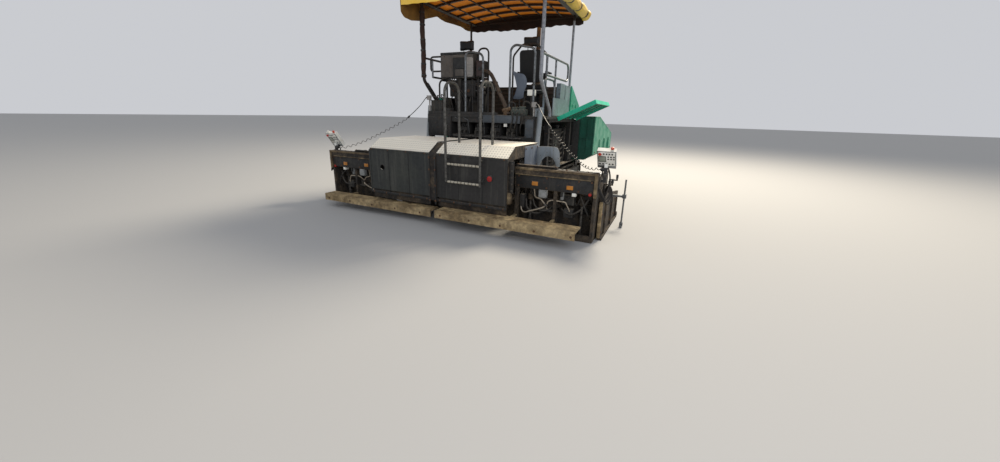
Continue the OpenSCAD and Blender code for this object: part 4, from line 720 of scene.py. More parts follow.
display_glass = soft_finish("display_window", "#93988c", "#7f857a", rough=0.2, grain_mm=20, bump=0.0)
stop_red = soft_finish("red_push_button", "#b01c1a", "#c8402f", rough=0.35, grain_mm=20, bump=0.0)
knob_orange = soft_finish("orange_red_knob", "#cf3d1e", "#b2391f", rough=0.4, grain_mm=20, bump=0.0)
red_lens = soft_finish("red_reflector", "#8c1512", "#b3231c", rough=0.15, grain_mm=20, bump=0.0, dust_share=0.1)
orange_lens = soft_finish("orange_reflector", "#c07a22", "#a06620", rough=0.3, grain_mm=20, bump=0.0)
brown_hose_dark = soft_finish("dark_bay_hose", "#191715", "#2e2a26", rough=0.75, grain_mm=12, dust_share=0.35)
white_enamel = site_enamel("pale_box_enamel", "#8e8b87", "#a5a19b", dust="#b7ad9b", runs="#5f5a54", gloss=0.5)
cabinet_enamel = site_enamel("beige_grey_cabinet_enamel", "#58534d", "#6b655d", dust="#a99f8f", runs="#3b3733",
    gloss=0.5, seed=14.0)
# Worn rungs and rivet-bright edges: steel that shoe soles keep clean.
trodden_steel = worked_metal("trodden_bright_steel", "#bdb6a6", "#8c8069", rough=0.5, share=0.6, metallic=0.3)


# %% Canopy cloth
def coated_cloth(name, colour, faded, stain, thread_mm=9.0, rough=0.6, **values):
    """PVC-coated polyester: a plain weave under a smooth coat, bleached by sun and stained by smoke."""
    material, tree, shader = new_material(name, **values)
    coords = add_node(tree, "TexCoord")
    bleached = speckle(tree, coords, 500, 0.36, 0.64, detail=4)
    cloth = blend_colour(tree, bleached.outputs[0], colour, faded)
    stains = speckle(tree, coords, 240, 0.52, 0.74, detail=8, seed=4)
    cloth = blend_colour(tree, times(tree, stains.outputs[0], 0.7), cloth, stain)
    tree.links.new(cloth, shader.inputs["Base Color"])
    shader.inputs["Roughness"].default_value = rough
    threads = []
    for direction in ("X", "Y"):
        wave = add_node(tree, "TexWave", {"Scale": 1000 / thread_mm / 6.283}, {"Vector": coords.outputs["Object"]},
            wave_type="BANDS", bands_direction=direction)
        threads.append(wave.outputs["Fac"])
    weave = add_node(tree, "Math", {}, {0: threads[0], 1: threads[1]}, operation="ADD")
    relief = add_node(tree, "Bump", {"Strength": 0.2, "Distance": 0.001}, {"Height": weave.outputs[0]})
    tree.links.new(relief.outputs["Normal"], shader.inputs["Normal"])
    return material


# The threads are drawn 9 mm apart, nine times the real spacing, so that the weave shows at all.
yellow_cloth = coated_cloth("faded_yellow_coated_cloth", "#d8ae36", "#cfb25c", "#8c7137")
# Sunlight through the cloth turns its inside orange; the inner face paints this light in, with an orange colour and a
# weak glow.
lit_cloth = coated_cloth("sunlit_cloth_lining", "#b86a14", "#c98224", "#4e2a10", rough=0.8,
    Emission_Color=linear("#b9640f"), Emission_Strength=0.3)
# The curtains hang in the roof's own shade: their inside is nearly brown, a painted shade.
painted_shade_cloth = coated_cloth("smoke_stained_lining", "#2a1b16", "#382419", "#150e0c", rough=0.85)
# The rear valance's outer face has a weak yellow glow: painted sunlight on the cloth.
lit_valance = coated_cloth("sunlit_yellow_valance", "#d8ae36", "#cfb25c", "#8c7137",
    Emission_Color=linear("#c99a26"), Emission_Strength=0.3)
# The left wall's inner face is a dark ochre: painted shade on the yellow cloth.
ochre_cloth = coated_cloth("shaded_ochre_lining", "#6b4a1c", "#8a6526", "#35230f", rough=0.85)

# %% [markdown]
# ## The cords of the remotes
#
# Each side of the screed has a remote control, fed by a cord from a socket on the tractor. The first stretch
# is a plain rubber lead. The rest is a curly cord, a helix that gives way when the extension slides out. The
# helix follows the same route as the plain tube that stands for it in the frame.

# %% Cord routes and materials come first
def smooth_route(points, steps):
    """A smooth curve through every point of a route, with some steps between two points."""
    points = [Vector(p) for p in points]
    last = len(points) - 1
    route = []
    for i in range(last):
        a, b, c, d = points[max(i - 1, 0)], points[i], points[i + 1], points[min(i + 2, last)]
        for k in range(steps):
            t = k / steps
            route.append(0.5 * (2 * b + (c - a) * t + (2 * a - 5 * b + 4 * c - d) * t * t + (3 * b - a - 3 * c + d)
                * t ** 3))
    return route + [points[last]]


def swept_tube(name, route, d, sides):
    """A closed mesh tube round a route, without twist."""
    mesh = bmesh.new()
    side = (route[1] - route[0]).orthogonal().normalized()
    rings = []
    for i, point in enumerate(route):
        ahead = (route[min(i + 1, len(route) - 1)] - route[max(i - 1, 0)]).normalized()
        side = (side - ahead * side.dot(ahead)).normalized()
        up = ahead.cross(side)
        rings.append([mesh.verts.new(point + d / 2 * (side * cos(a) + up * sin(a)))
            for a in (2 * pi * k / sides for k in range(sides))])
    for first, second in zip(rings, rings[1:]):
        for k in range(sides):
            mesh.faces.new((first[k], first[(k + 1) % sides], second[(k + 1) % sides], second[k]))
    mesh.faces.new(list(reversed(rings[0])))
    mesh.faces.new(rings[-1])
    data = bpy.data.meshes.new(name)
    mesh.to_mesh(data)
    mesh.free()
    obj = bpy.data.objects.new(name, data)
    bpy.context.scene.collection.objects.link(obj)
    return obj


def length_of(route):
    return sum((b - a).length for a, b in zip(route, route[1:]))


lead_d = 0.014
coil_d = 0.044
wire_d = 0.01
lead_routes = {"right": [(1.1, -1.77, 1.84), (1.115, -1.77, 1.84), (1.135, -1.77, 1.84), (1.23, -1.85, 1.72),
    (1.34, -1.944, 1.608), (1.39, -1.986, 1.56), (1.43, -2.02, 1.52)],
    "left": [(-1.1, -1.77, 1.94), (-1.115, -1.77, 1.94), (-1.135, -1.77, 1.94), (-1.22, -1.84, 1.8),
    (-1.32, -1.888, 1.69), (-1.37, -1.912, 1.64), (-1.41, -1.932, 1.6)],}
coil_routes = {"right": [(1.47, -2.054, 1.48), (1.51, -2.088, 1.44), (1.58, -2.145, 1.39), (1.7, -2.24, 1.3),
    (1.86, -2.37, 1.18), (2.03, -2.5, 1.08), (2.16, -2.63, 1.02), (2.26, -2.73, 1.002), (2.35, -2.78, 1.0),
    (2.4, -2.78, 1.0), (2.44, -2.78, 1.0)], "left": [(-1.45, -1.952, 1.56), (-1.49, -1.972, 1.524),
    (-1.59, -2.02, 1.46), (-1.76, -2.12, 1.35), (-1.96, -2.27, 1.22), (-2.12, -2.44, 1.11), (-2.23, -2.6, 1.04),
    (-2.3, -2.73, 1.004), (-2.36, -2.78, 1.0), (-2.4, -2.78, 1.0), (-2.44, -2.78, 1.0)],}


# %% [markdown]
# ## Winding the curly cords
#
# A curly cord is wound on a rod and heated, so it keeps its coils. Here a point walks along the route while
# it turns round it, twelve points to a turn, and a thin tube is swept along its path. The pitch is about
# seven wire widths at the right and ten at the left, because the cord is stretched from the tractor to the end plate.

# %% Cords
def helix_route(route, radius, pitch, steps=12):
    """A path that winds round a route with one pitch, starting and ending on its middle line."""
    total = length_of(route)
    turns = round(total / pitch)
    count = turns * steps
    spans = [0.0]
    for a, b in zip(route, route[1:]):
        spans.append(spans[-1] + (b - a).length)
    side = Vector((0, 0, 1))
    path = []
    for i in range(count + 1):
        s = total * i / count
        k = max(j for j in range(len(spans) - 1) if spans[j] <= s + 1e-9)
        along = (route[k + 1] - route[k]).normalized()
        centre = route[k] + along * (s - spans[k])
        side = (side - along * side.dot(along)).normalized()
        up = along.cross(side)
        grow = min(1.0, i / steps, (count - i) / steps)
        turn = 2 * pi * i / steps
        path.append(centre + radius * grow * (side * cos(turn) + up * sin(turn)))
    return path, turns


def cord_joiner(name, start, end):
    """The screwed joint of the two cords: a ribbed sleeve with a gland nut at each end."""
    start, end = Vector(start), Vector(end)
    along = end - start
    body = bar(name, start + along * 0.22, start + along * 0.78, 0.034, sides=24, edge=0.002)
    nuts = [bar(name + "_nut", start, start + along * 0.24, 0.026, sides=6, edge=0.002),
        bar(name + "_nut", start + along * 0.76, end, 0.026, sides=6, edge=0.002)]
    ribs = [bar(name + "_rib", start + along * t, start + along * (t + 0.05), 0.038, sides=24, edge=0.001)
        for t in (0.3, 0.45, 0.6)]
    return dress(name, [body] + nuts + ribs, dark_plastic, "screed", slot="cord_black")


for side in ("right", "left"):
    joiner = cord_joiner(f"cord_joiner_{side}", lead_routes[side][-1], coil_routes[side][0])
    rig.replaces(joiner, f"joiner_{side}")
    lead_path = smooth_route(lead_routes[side], 6)
    lead = swept_tube(f"lead_tube_{side}", lead_path, lead_d, 10)
    coil_path, turns = helix_route(smooth_route(coil_routes[side], 8), (coil_d - wire_d) / 2,
        0.066 if side == "right" else 0.1)
    coil = swept_tube(f"curly_cord_tube_{side}", coil_path, wire_d, 8)
    for obj, path, d, far, start, end, bodies, on_it in ((lead, lead_path, lead_d, "connector", lead_path[0],
        lead_path[-1], ("tractor", "screed"), [joiner]), (coil, coil_path, wire_d, "object", coil_path[0],
        coil_path[-1], ("screed", f"extension_{side}"), [])):
        alone(obj)
        bpy.ops.object.shade_smooth()
        obj.data.materials.append(cord_rubber_dust_and_highlight)
        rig.slot(obj, "cord_black")
        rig.cord(obj, exit=path[0], length=length_of(path), diameter=d, far_end=far, stiffness="medium",
            lay="hanging", path=path, with_pieces=on_it)
        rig.blend(obj, bodies[0], bodies[1], start, end)
    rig.replaces(lead, f"lead_{side}")
    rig.replaces(coil, f"curly_cord_{side}")
    print(side, "lead", round(length_of(lead_path), 3), "m, curly cord", turns, "turns,",
        round(length_of(coil_path), 2), "m of wire")

# %% [markdown]
# ## Floor and light
#
# A pale studio floor without an edge, an even pale sky around it, a large soft key light above the front and
# a weaker fill behind the camera. The key comes from the front because the photograph's sun stands there: the
# tops are bright and the screed's rear faces lie in shade.

# %% Floor and light
select_none()
bpy.ops.mesh.primitive_plane_add(size=160, location=(0, 0, -0.002))
floor = bpy.context.object
floor.name = floor.data.name = "studio_floor"
settle(floor)
floor_material, tree, shader = new_material("matt_studio_floor", Roughness=0.9)
shader.inputs["Base Color"].default_value = linear("#a9a9a8")
floor.data.materials.append(floor_material)
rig.stage(floor)


def area_light(name, place, target, size, watts, colour="#ffffff"):
    """A square soft light that looks at a point."""
    light = bpy.data.lights.new(name, "AREA")
    light.size = size
    light.energy = watts
    light.color = linear(colour)[:3]
    lamp = bpy.data.objects.new(name, light)
    bpy.context.scene.collection.objects.link(lamp)
    aim = (Vector(target) - Vector(place)).to_track_quat("-Z", "Y")
    lamp.matrix_world = Matrix.Translation(place) @ aim.to_matrix().to_4x4()
    return lamp


world = bpy.data.worlds.new("pale_haze")
bpy.context.scene.world = world
world.use_nodes = True
background = next(n for n in world.node_tree.nodes if n.type == "BACKGROUND")
background.inputs["Color"].default_value = linear("#dfe1e6")
background.inputs["Strength"].default_value = 0.8
area_light("key", (3.5, 6.5, 12.0), (0, 0, 1), 4.0, 3300, "#fff2dc")
area_light("fill", (7.0, -10.0, 5.0), (0, -2, 1), 6.0, 260, "#e8eefc")

# %% [markdown]
# ## Finishes on the CAD nodes
#
# The frames, beams, rollers and tubes already have their true shape, so they only take a finish. A node
# stays exactly where the frame has it.

# %% Finishes on the nodes
usual_slot = {}
for slot, materials in {
    "black_steel": (dark_plastic, red_lens, engine_enamel, hose_rubber, black_tube, brown_hose_dark),
    "hood_paint": (hood_enamel,),
    "dark_grey_paint": (dark_enamel,),
    "bare_steel": (rusty_steel, bare_steel, zinc_tube),
    "crusted_steel": (rail_steel, sandy_steel, tarred_steel),
    "pale_grey_paint": (grey_plastic, slate_enamel, cabinet_enamel, shield_enamel),
    "console_plastic": (pale_plastic, display_glass),
    "seat_vinyl": (seat_vinyl,),
    "yellow_cloth": (yellow_cloth,),
    "track_steel": (track_steel,),
    "worn_green_paint": (wing_green_lit_and_shaded,),
    "green_paint": (dusty_hood, green_enamel),
}.items():
    for material in materials:
        usual_slot[material.name] = slot

node_finish = (
    (dark_enamel, "chassis track_frames push_beam body_frame rear_cabinet auger_frame tow_arms chassis_deck"),
    (engine_enamel, "engine_block hydraulics control_cabinet side_tanks"),
    (track_steel, "track_left track_right"),
    (bare_steel, "conveyor hopper_floor push_roller_left push_roller_right"),
    (wing_green_lit_and_shaded, "hopper_wing_left hopper_wing_right"),
    (body_green, "engine_hood"),
    (flap_green, "side_flap_left side_flap_right"),
    (platform_enamel, "platform"),
    (seat_vinyl, "seats"),
    (dark_plastic, "steering_console joiner_left joiner_right"),
    (white_enamel, "cable_sockets"),
    (zinc_tube, "handrails entry_rails grade_sensor_left grade_sensor_right"),
    (rusty_steel, "exhaust_stack"),
    (canopy_tube, "canopy_frame"),
    (yellow_cloth, "canopy_cloth"),
    (tarred_steel, "auger_left auger_right screed_frame extension_left extension_right end_plate_left "
     "end_plate_right"),
    (pale_enamel, "lift_cylinders"),
    (chrome, "lift_rod_left lift_rod_right guide_tube_left guide_tube_right"),
    (hood_enamel, "screed_hoods"),
    (ladder_tube, "ladder"),
    (sandy_steel, "footboard_left footboard_right"),
    (remote_plastic, "remote_left remote_right"),
    (cord_rubber_dust_and_highlight, "lead_left lead_right curly_cord_left curly_cord_right"),
)
for material, names in node_finish:
    for name in names.split():
        for node_slot in frame["nodes"][name].material_slots:
            node_slot.material = material
print("finished nodes", sum(len(names.split()) for _, names in node_finish))

# %% [markdown]
# ## The screed hood
#
# The hood is the screed's back wall. Its lip, seams, cover plates and bolts are small beside the sheet, so they
# are added here: each one is a primitive that gets its rounded edges in the mesh.

# %% Hood: lip, seams, cover plates
hood_y = -3.2


def hood(x, y, z):
    """A place measured from the hood's rear face."""
    return (x, hood_y + y, z)


for side in (-1, 1):
    inner, outer = side * 0.075, side * 1.245
    lip = plate(f"hood_lip_{side}", hood(inner, -0.006, 1.058), hood(outer, 0.016, 1.094), 0.004)
    foot = plate(f"hood_foot_{side}", hood(inner, -0.007, 0.352), hood(outer, 0.003, 0.392), 0.003)
    edge = plate(f"hood_edge_{side}", hood(outer - 0.018, -0.005, 0.36), hood(outer + 0.004, 0.004, 1.07), 0.002)
    dress(f"hood_trim_{side}", [lip, edge], hood_enamel, "screed")
    finish(foot, dark_enamel, "screed", slot="hood_paint")
    dress(f"hood_seams_{side}", [plate("hood_seam", hood(side * x - 0.005, -0.0035, 0.38),
        hood(side * x + 0.005, 0.002, 1.06), 0.0015) for x in (0.46, 0.86)], dark_enamel, "screed",
        slot="hood_paint")
    bolted(f"hood_bolts_{side}", [hood(side * x, -0.006, 0.372) for x in (0.12, 0.38, 0.66, 0.94, 1.2)], (0, -1, 0),
        0.012, rusty_steel, "screed", slot="hood_paint")
    bolted(f"hood_lip_bolts_{side}", [hood(side * x, -0.006, 1.076) for x in (0.14, 0.5, 0.86, 1.2)], (0, -1, 0),
        0.012, rusty_steel, "screed", slot="hood_paint")

# %% Hood: reflector at the right, ring of the empty lamp hole at the left
ring = bar("reflector_ring", hood(0.98, 0.004, 0.79), hood(0.98, -0.012, 0.79), 0.104, sides=40, edge=0.004)
lens = bar("reflector_lens", hood(0.98, -0.008, 0.79), hood(0.98, -0.018, 0.79), 0.08, sides=40, edge=0.006)
finish(ring, dark_plastic, "screed")
finish(lens, red_lens, "screed")
bolted("lamp_screws", [hood(-1.03, 0, 0.86), hood(-0.97, 0, 0.73)], (0, -1, 0), 0.006, bare_steel, "screed",
    slot="black_steel")
gasket_outer = bar("lamp_hole_rim", hood(-1.0, 0.002, 0.79), hood(-1.0, -0.004, 0.79), 0.1, sides=40)
gasket_cut = bar("lamp_hole_cut", hood(-1.0, 0.05, 0.79), hood(-1.0, -0.05, 0.79), 0.082, sides=40)
modify(gasket_outer, "BOOLEAN", operation="DIFFERENCE", object=gasket_cut)
bpy.data.objects.remove(gasket_cut)
finish(gasket_outer, dark_enamel, "screed", slot="black_steel")

# %% Hood: walkway plates on the slope and the flat top, hinge line and grips
for side in (-1, 1):
    parts = []
    for x in (0.22, 0.56, 0.9):
        parts.append(plate("hood_top_rib", hood(side * x - 0.012, 0.27, 1.189), (side * x + 0.012, -2.04, 1.196),
            0.002))
    for x in (0.3, 0.62, 1.02):
        parts.append(bar("hood_hinge", hood(side * x - 0.05, 0.262, 1.192), hood(side * x + 0.05, 0.262, 1.192),
            0.022, sides=16))
    dress(f"hood_hinges_{side}", parts, hood_enamel, "screed")
    finish(hose(f"hood_grip_{side}", [hood(side * 0.7, 0.75, 1.185), hood(side * 0.7, 0.75, 1.225),
        hood(side * 0.86, 0.75, 1.225), hood(side * 0.86, 0.75, 1.185)], 0.014, sides=10, bend=0.02), zinc_tube,
        "screed")

# %% Centre post: two black flat bars with bolts, between the halves of the hood
dress("centre_post_bars", [plate("post_bar", hood(x - 0.012, -0.022, 0.3), hood(x + 0.012, -0.008, 1.05), 0.003)
    for x in (-0.052, 0.052)], dark_enamel, "screed")
bolted("centre_post_bolts", [hood(x, -0.022, z) for x in (-0.052, 0.052) for z in (0.36, 0.6, 0.84, 1.02)],
    (0, -1, 0), 0.014, rusty_steel, "screed", slot="dark_grey_paint")

# %% [markdown]
# ## The extensions
#
# Each extension is a small screed of its own: a slotted plank on the top rail, a face plate with reflectors
# and, below it, the open frame with its hydraulic motor, bent steel pipes, hoses and switch boxes.

# %% Extension details, built at the right and mirrored to the left
def extension_details(side):
    body = extension_of(side)

    def at(x, y, z):
        return (side * x, y, z)

    def box(name, x0, x1, y0, y1, z0, z1, edge=0.004):
        return plate(name, (side * x0, y0, z0), (side * x1, y1, z1), edge)

    rail_lip = box("rail_lip", 1.275, 2.435, -2.988, -2.972, 0.932, 0.963)
    rail_low = box("rail_low", 1.275, 2.36, -2.986, -2.974, 0.858, 0.872, 0.003)
    dress(f"rail_edges_{body}", [rail_lip, rail_low], rail_steel, body)
    finish(box("end_strip", 2.405, 2.445, -2.995, -2.955, 0.64, 0.962), rail_steel, body)
    finish(box("face_plate", 1.29, 2.4, -2.966, -2.958, 0.675, 0.862, 0.003), dark_enamel, body)
    bolted(f"face_bolts_{body}", [at(x, -2.966, z) for x in (1.33, 1.75, 2.2, 2.37) for z in (0.7, 0.838)],
        (0, -1, 0), 0.012, rusty_steel, body)
    for i, (x, z) in enumerate(((1.58, 0.751), (2.082, 0.742))):
        finish(box("reflector_back", x - 0.052, x + 0.052, -2.974, -2.966, z - 0.035, z + 0.035, 0.004),
            dark_plastic, body)
        finish(box(f"side_reflector_{i}_{body}", x - 0.045, x + 0.045, -2.98, -2.972, z - 0.028, z + 0.028, 0.005),
            orange_lens, body, slot="black_steel")
    finish(box("switch_box", 1.64, 1.755, -2.975, -2.9, 0.555, 0.67, 0.008), grey_plastic, body)
    bolted(f"switch_box_screws_{body}", [at(x, -2.975, z) for x in (1.652, 1.743) for z in (0.568, 0.657)],
        (0, -1, 0), 0.005, bare_steel, body)
    finish(box("filter_bracket", 1.955, 1.981, -2.958, -2.92, 0.6, 0.7, 0.003), engine_enamel, body)
    canister = bar("filter_can", at(1.968, -2.9, 0.548), at(1.968, -2.9, 0.652), 0.052, sides=28, edge=0.008)
    cap = bar("filter_cap", at(1.968, -2.9, 0.648), at(1.968, -2.9, 0.668), 0.058, sides=28, edge=0.004)
    dress(f"filter_{body}", [canister, cap], grey_plastic, body)
    finish(box("small_box", 2.112, 2.168, -2.958, -2.88, 0.622, 0.682, 0.005), pale_plastic, body,
        slot="pale_grey_paint")
    finish(bar("round_switch", at(2.36, -2.975, 0.675), at(2.36, -2.92, 0.675), 0.045, sides=24, edge=0.006),
        red_lens, body)
    # Bent steel pipes with their union, then three rubber hoses behind them
    pipe_a = hose("pipe_a", [at(1.56, -2.94, 0.69), at(1.57, -2.91, 0.545), at(1.664, -2.915, 0.524),
        at(1.735, -2.91, 0.442), at(1.76, -2.86, 0.34)], 0.016, sides=12, bend=0.03)
    pipe_b = hose("pipe_b", [at(1.74, -2.88, 0.44), at(1.773, -2.92, 0.507), at(1.831, -2.925, 0.53),
        at(2.025, -2.925, 0.524), at(2.077, -2.91, 0.421), at(2.1, -2.86, 0.33)], 0.016, sides=12, bend=0.03)
    pipe_c = hose("pipe_c", [at(1.34, -2.88, 0.4), at(1.4, -2.93, 0.31), at(1.52, -2.94, 0.34),
        at(1.68, -2.93, 0.4), at(1.74, -2.9, 0.43)], 0.02)
    dress(f"pipes_{body}", [pipe_a, pipe_b, pipe_c], pale_hose, body, slot="bare_steel")
    union = bar("union", at(1.722, -2.915, 0.455), at(1.752, -2.905, 0.425), 0.046, sides=6, edge=0.004)
    nut = bar("union_nut", at(1.715, -2.916, 0.462), at(1.757, -2.904, 0.42), 0.034, sides=6, edge=0.003)
    dress(f"union_{body}", [union, nut], bare_steel, body)
    dress(f"hoses_{body}", [hose("hose_1", [at(1.52, -2.86, 0.5), at(1.6, -2.93, 0.4), at(1.72, -2.92, 0.36),
        at(1.86, -2.85, 0.46), at(1.95, -2.82, 0.6)], 0.022),
        hose("hose_2", [at(1.95, -2.84, 0.4), at(2.1, -2.93, 0.36), at(2.24, -2.91, 0.44), at(2.33, -2.85, 0.58)],
        0.024), hose("hose_3", [at(1.4, -2.82, 0.48), at(1.46, -2.9, 0.36), at(1.58, -2.9, 0.3),
        at(1.72, -2.83, 0.35)], 0.026), hose("hose_4", [at(2.2, -2.82, 0.62), at(2.27, -2.9, 0.52),
        at(2.34, -2.9, 0.38), at(2.36, -2.83, 0.3)], 0.02)], hose_rubber, body)
    finish(bolts(f"motor_bolts_{body}", [at(1.835, -2.76 + 0.055 * cos(a), 0.42 + 0.055 * sin(a))
        for a in (0.78, 2.36, 3.93, 5.5)], (side, 0, 0), 0.012), bare_steel, body)
    dress(f"valve_blocks_{body}", [box("gear_block", 1.6, 1.85, -2.9, -2.62, 0.345, 0.375, 0.006),
        box("valve_block", 2.0, 2.13, -2.9, -2.8, 0.3, 0.42, 0.006),
        box("clamp_block", 1.33, 1.4, -2.9, -2.8, 0.36, 0.56, 0.008)], engine_enamel, body, slot="engine_iron")
    bolted(f"plank_bolts_{body}", [at(x, -2.89, 0.96) for x in (2.0, 2.15, 2.3, 2.42)]
        + [at(x, -2.91, 0.995) for x in (1.29, 1.85)], (0, 0, 1), 0.014, rusty_steel, body)
    rods = [bar("spindle_thread", at(x, -2.78, 0.1), at(x, -2.78, 0.46), 0.052, sides=24) for x in (1.46, 2.23)]
    rings = [bar("spindle_ring", at(x, -2.78, z), at(x, -2.78, z + 0.008), 0.06, sides=24) for x in (1.46, 2.23)
        for z in (0.12, 0.15, 0.18, 0.21, 0.24, 0.27, 0.3, 0.33, 0.36, 0.39, 0.42)]
    dress(f"spindles_{body}", rods + rings, bare_steel, body)


extension_details(1)
extension_details(-1)

# %% [markdown]
# ## The tractor's rear
#
# Between the screed hood and the platform, the tractor's back wall is a shelf of open compartments: valve
# blocks with solenoids and hoses at the right, a closed door at the left and the slate-grey beam above.

# %% Door, beam and panel seams
rear_y = -1.8


def rear(x, y, z):
    """A place measured from the tractor's rear face."""
    return (x, rear_y + y, z)


door = plate("cabinet_door", rear(-1.06, -0.008, 1.27), rear(-0.58, 0.004, 1.595), 0.006)
door_handle = hose("door_handle", [rear(-0.64, -0.006, 1.36), rear(-0.64, -0.038, 1.36), rear(-0.64, -0.038, 1.46),
    rear(-0.64, -0.006, 1.46)], 0.012, bend=0.012)
hinges = [bar("door_hinge", rear(-1.068, -0.008, z), rear(-1.068, -0.008, z + 0.06), 0.016, sides=12)
    for z in (1.3, 1.5)]
dress("cabinet_door", [door] + hinges, dark_enamel)
finish(door_handle, zinc_tube)
beam_plate = plate("beam_plate", rear(0.11, -0.004, 1.525), rear(0.83, 0.012, 1.655), 0.004)
beam_lip = plate("beam_lip", rear(0.1, -0.008, 1.64), rear(0.84, 0.006, 1.655), 0.003)
dress("beam_trim", [beam_plate, beam_lip], slate_enamel)
finish(plate("right_side_panel", rear(0.925, 0.004, 1.29), rear(1.072, 0.022, 1.6), 0.005), slate_enamel)
bolted("side_panel_bolts", [rear(x, 0.004, z) for x in (0.945, 1.052) for z in (1.31, 1.45, 1.58)], (0, -1, 0),
    0.01, bare_steel)
dress("compartment_dividers", [plate("divider", rear(x - 0.006, 0.03, 1.3), rear(x + 0.006, 0.29, 1.52), 0.002)
    for x in (-0.22, 0.12, 0.44, 0.76)], dark_enamel)
white_box = plate("white_switch_box", rear(0.515, 0.024, 1.462), rear(0.572, 0.064, 1.518), 0.005)
white_stem = plate("white_box_bracket", rear(0.53, 0.03, 1.516), rear(0.557, 0.05, 1.53), 0.002)
dress("white_switch_box", [white_box, white_stem], pale_plastic)

# %% Hoses of the valve shelf
shelf_hoses = []
for i in range(4):
    x = -0.42 + i * 0.32
    for k, dx in enumerate((0.045, 0.135)):
        drop = 1.02 + 0.04 * ((i + k) % 3)
        shelf_hoses.append(hose("shelf_hose", [rear(x + dx, 0.068, 1.36), rear(x + dx, 0.02, 1.355),
            rear(x + dx + 0.03, -0.004, 1.25), rear(x + dx + 0.06 * (k - 0.5), 0.05, drop),
            rear(x + dx + 0.1 * (k - 0.5), 0.16, 0.93)], 0.024))
dress("shelf_hoses", shelf_hoses, hose_rubber)
dress("shelf_fittings", [bar("shelf_fitting", rear(-0.42 + i * 0.32 + dx, 0.07, 1.36),
    rear(-0.42 + i * 0.32 + dx, 0.036, 1.36), 0.034, sides=6, edge=0.002) for i in range(4)
    for dx in (0.045, 0.135)], bare_steel)
coils = []
for i in range(4):
    for dx in (0.045, 0.09, 0.135):
        x = -0.42 + i * 0.32 + dx
        coils.append(plate("solenoid", rear(x - 0.019, 0.124, 1.434), rear(x + 0.019, 0.168, 1.492), 0.006))
        coils.append(plate("solenoid_plug", rear(x - 0.013, 0.1, 1.445), rear(x + 0.013, 0.126, 1.472), 0.003))
dress("solenoids", coils, dark_plastic)
dress("lower_hoses", [hose("lower_hose", [rear(x, 0.32, z + 0.18), rear(x + 0.05, 0.12, z + 0.1),
    rear(x + 0.2, 0.05, z), rear(x + 0.42, 0.1, z + 0.03), rear(x + 0.5, 0.32, z + 0.12)], 0.03)
    for x, z in ((-0.95, 0.98), (-0.62, 1.02), (0.05, 0.99), (0.38, 1.05), (0.5, 0.96))], hose_rubber)

# %% Valve block, junction box and pipes on the platform's rear edge
dress("edge_valves", [plate("edge_valve", rear(0.63, 0.05, 1.652), rear(0.91, 0.16, 1.76), 0.008),
    plate("edge_valve_cap", rear(0.65, 0.06, 1.755), rear(0.74, 0.14, 1.8), 0.008),
    plate("edge_valve_cap", rear(0.78, 0.06, 1.755), rear(0.88, 0.14, 1.812), 0.008)], valve_paint,
    slot="pale_grey_paint")
bolted("edge_valve_bolts", [rear(x, 0.05, z) for x in (0.65, 0.72, 0.82, 0.89) for z in (1.675, 1.735)], (0, -1, 0),
    0.012, bare_steel)
edge_hoses = [hose("edge_hose", [rear(x, 0.05, 1.7), rear(x + 0.01, -0.002, 1.69), rear(x + 0.02, -0.012, 1.6),
    rear(x - 0.02, 0.0, 1.46), rear(x - 0.05, 0.1, 1.34)], 0.026) for x in (0.68, 0.76, 0.86)]
edge_hoses += [hose("edge_hose_top", [rear(0.7, 0.1, 1.79), rear(0.68, 0.09, 1.86), rear(0.6, 0.08, 1.87),
    rear(0.53, 0.1, 1.8)], 0.022), hose("edge_hose_top",
    [rear(0.84, 0.1, 1.8), rear(0.86, 0.09, 1.88), rear(0.96, 0.1, 1.86), rear(0.99, 0.16, 1.66)], 0.022)]
dress("edge_hoses", edge_hoses, hose_rubber)
filter_body = bar("tan_filter", rear(0.45, 0.1, 1.735), rear(0.585, 0.1, 1.755), 0.066, sides=28, edge=0.01)
filter_cap = bar("tan_filter_cap", rear(0.575, 0.1, 1.763), rear(0.605, 0.1, 1.769), 0.07, sides=28, edge=0.006)
filter_foot = plate("tan_filter_foot", rear(0.48, 0.07, 1.65), rear(0.55, 0.13, 1.72), 0.005)
dress("tan_filter", [filter_body, filter_cap, filter_foot], tan_enamel, slot="tan_rust")
dress("grease_pipes", [hose("grease_pipe", [rear(x, 0.02, 1.652), rear(x, 0.008, 1.6), rear(x + 0.1, 0.006, 1.56),
    rear(x + 0.12, 0.03, 1.32)], 0.01, bend=0.02) for x in (-0.48, -0.3, 0.02)], zinc_tube)

# %% Sockets of the two leads: a cap nut and a ring on each
for side, z in ((1, 1.84), (-1, 1.94)):
    cap = bar("socket_ring", (side * 1.098, -1.77, z), (side * 1.112, -1.77, z), 0.04, sides=24, edge=0.003)
    nut = bar("socket_nut", (side * 1.11, -1.77, z), (side * 1.128, -1.77, z), 0.028, sides=6, edge=0.002)
    dress(f"socket_gland_{side}", [cap, nut], dark_plastic, slot="cord_black")

# %% [markdown]
# ## Seats
#
# A seat is two padded cushions, a headrest and two arm pads in black vinyl, on a steel pedestal. The cushions
# start as slightly smaller blocks, are remeshed and blown up by a cloth simulation with pressure. A cap on the
# distance that a point may move keeps the crown within the room that the frame gives the seat.

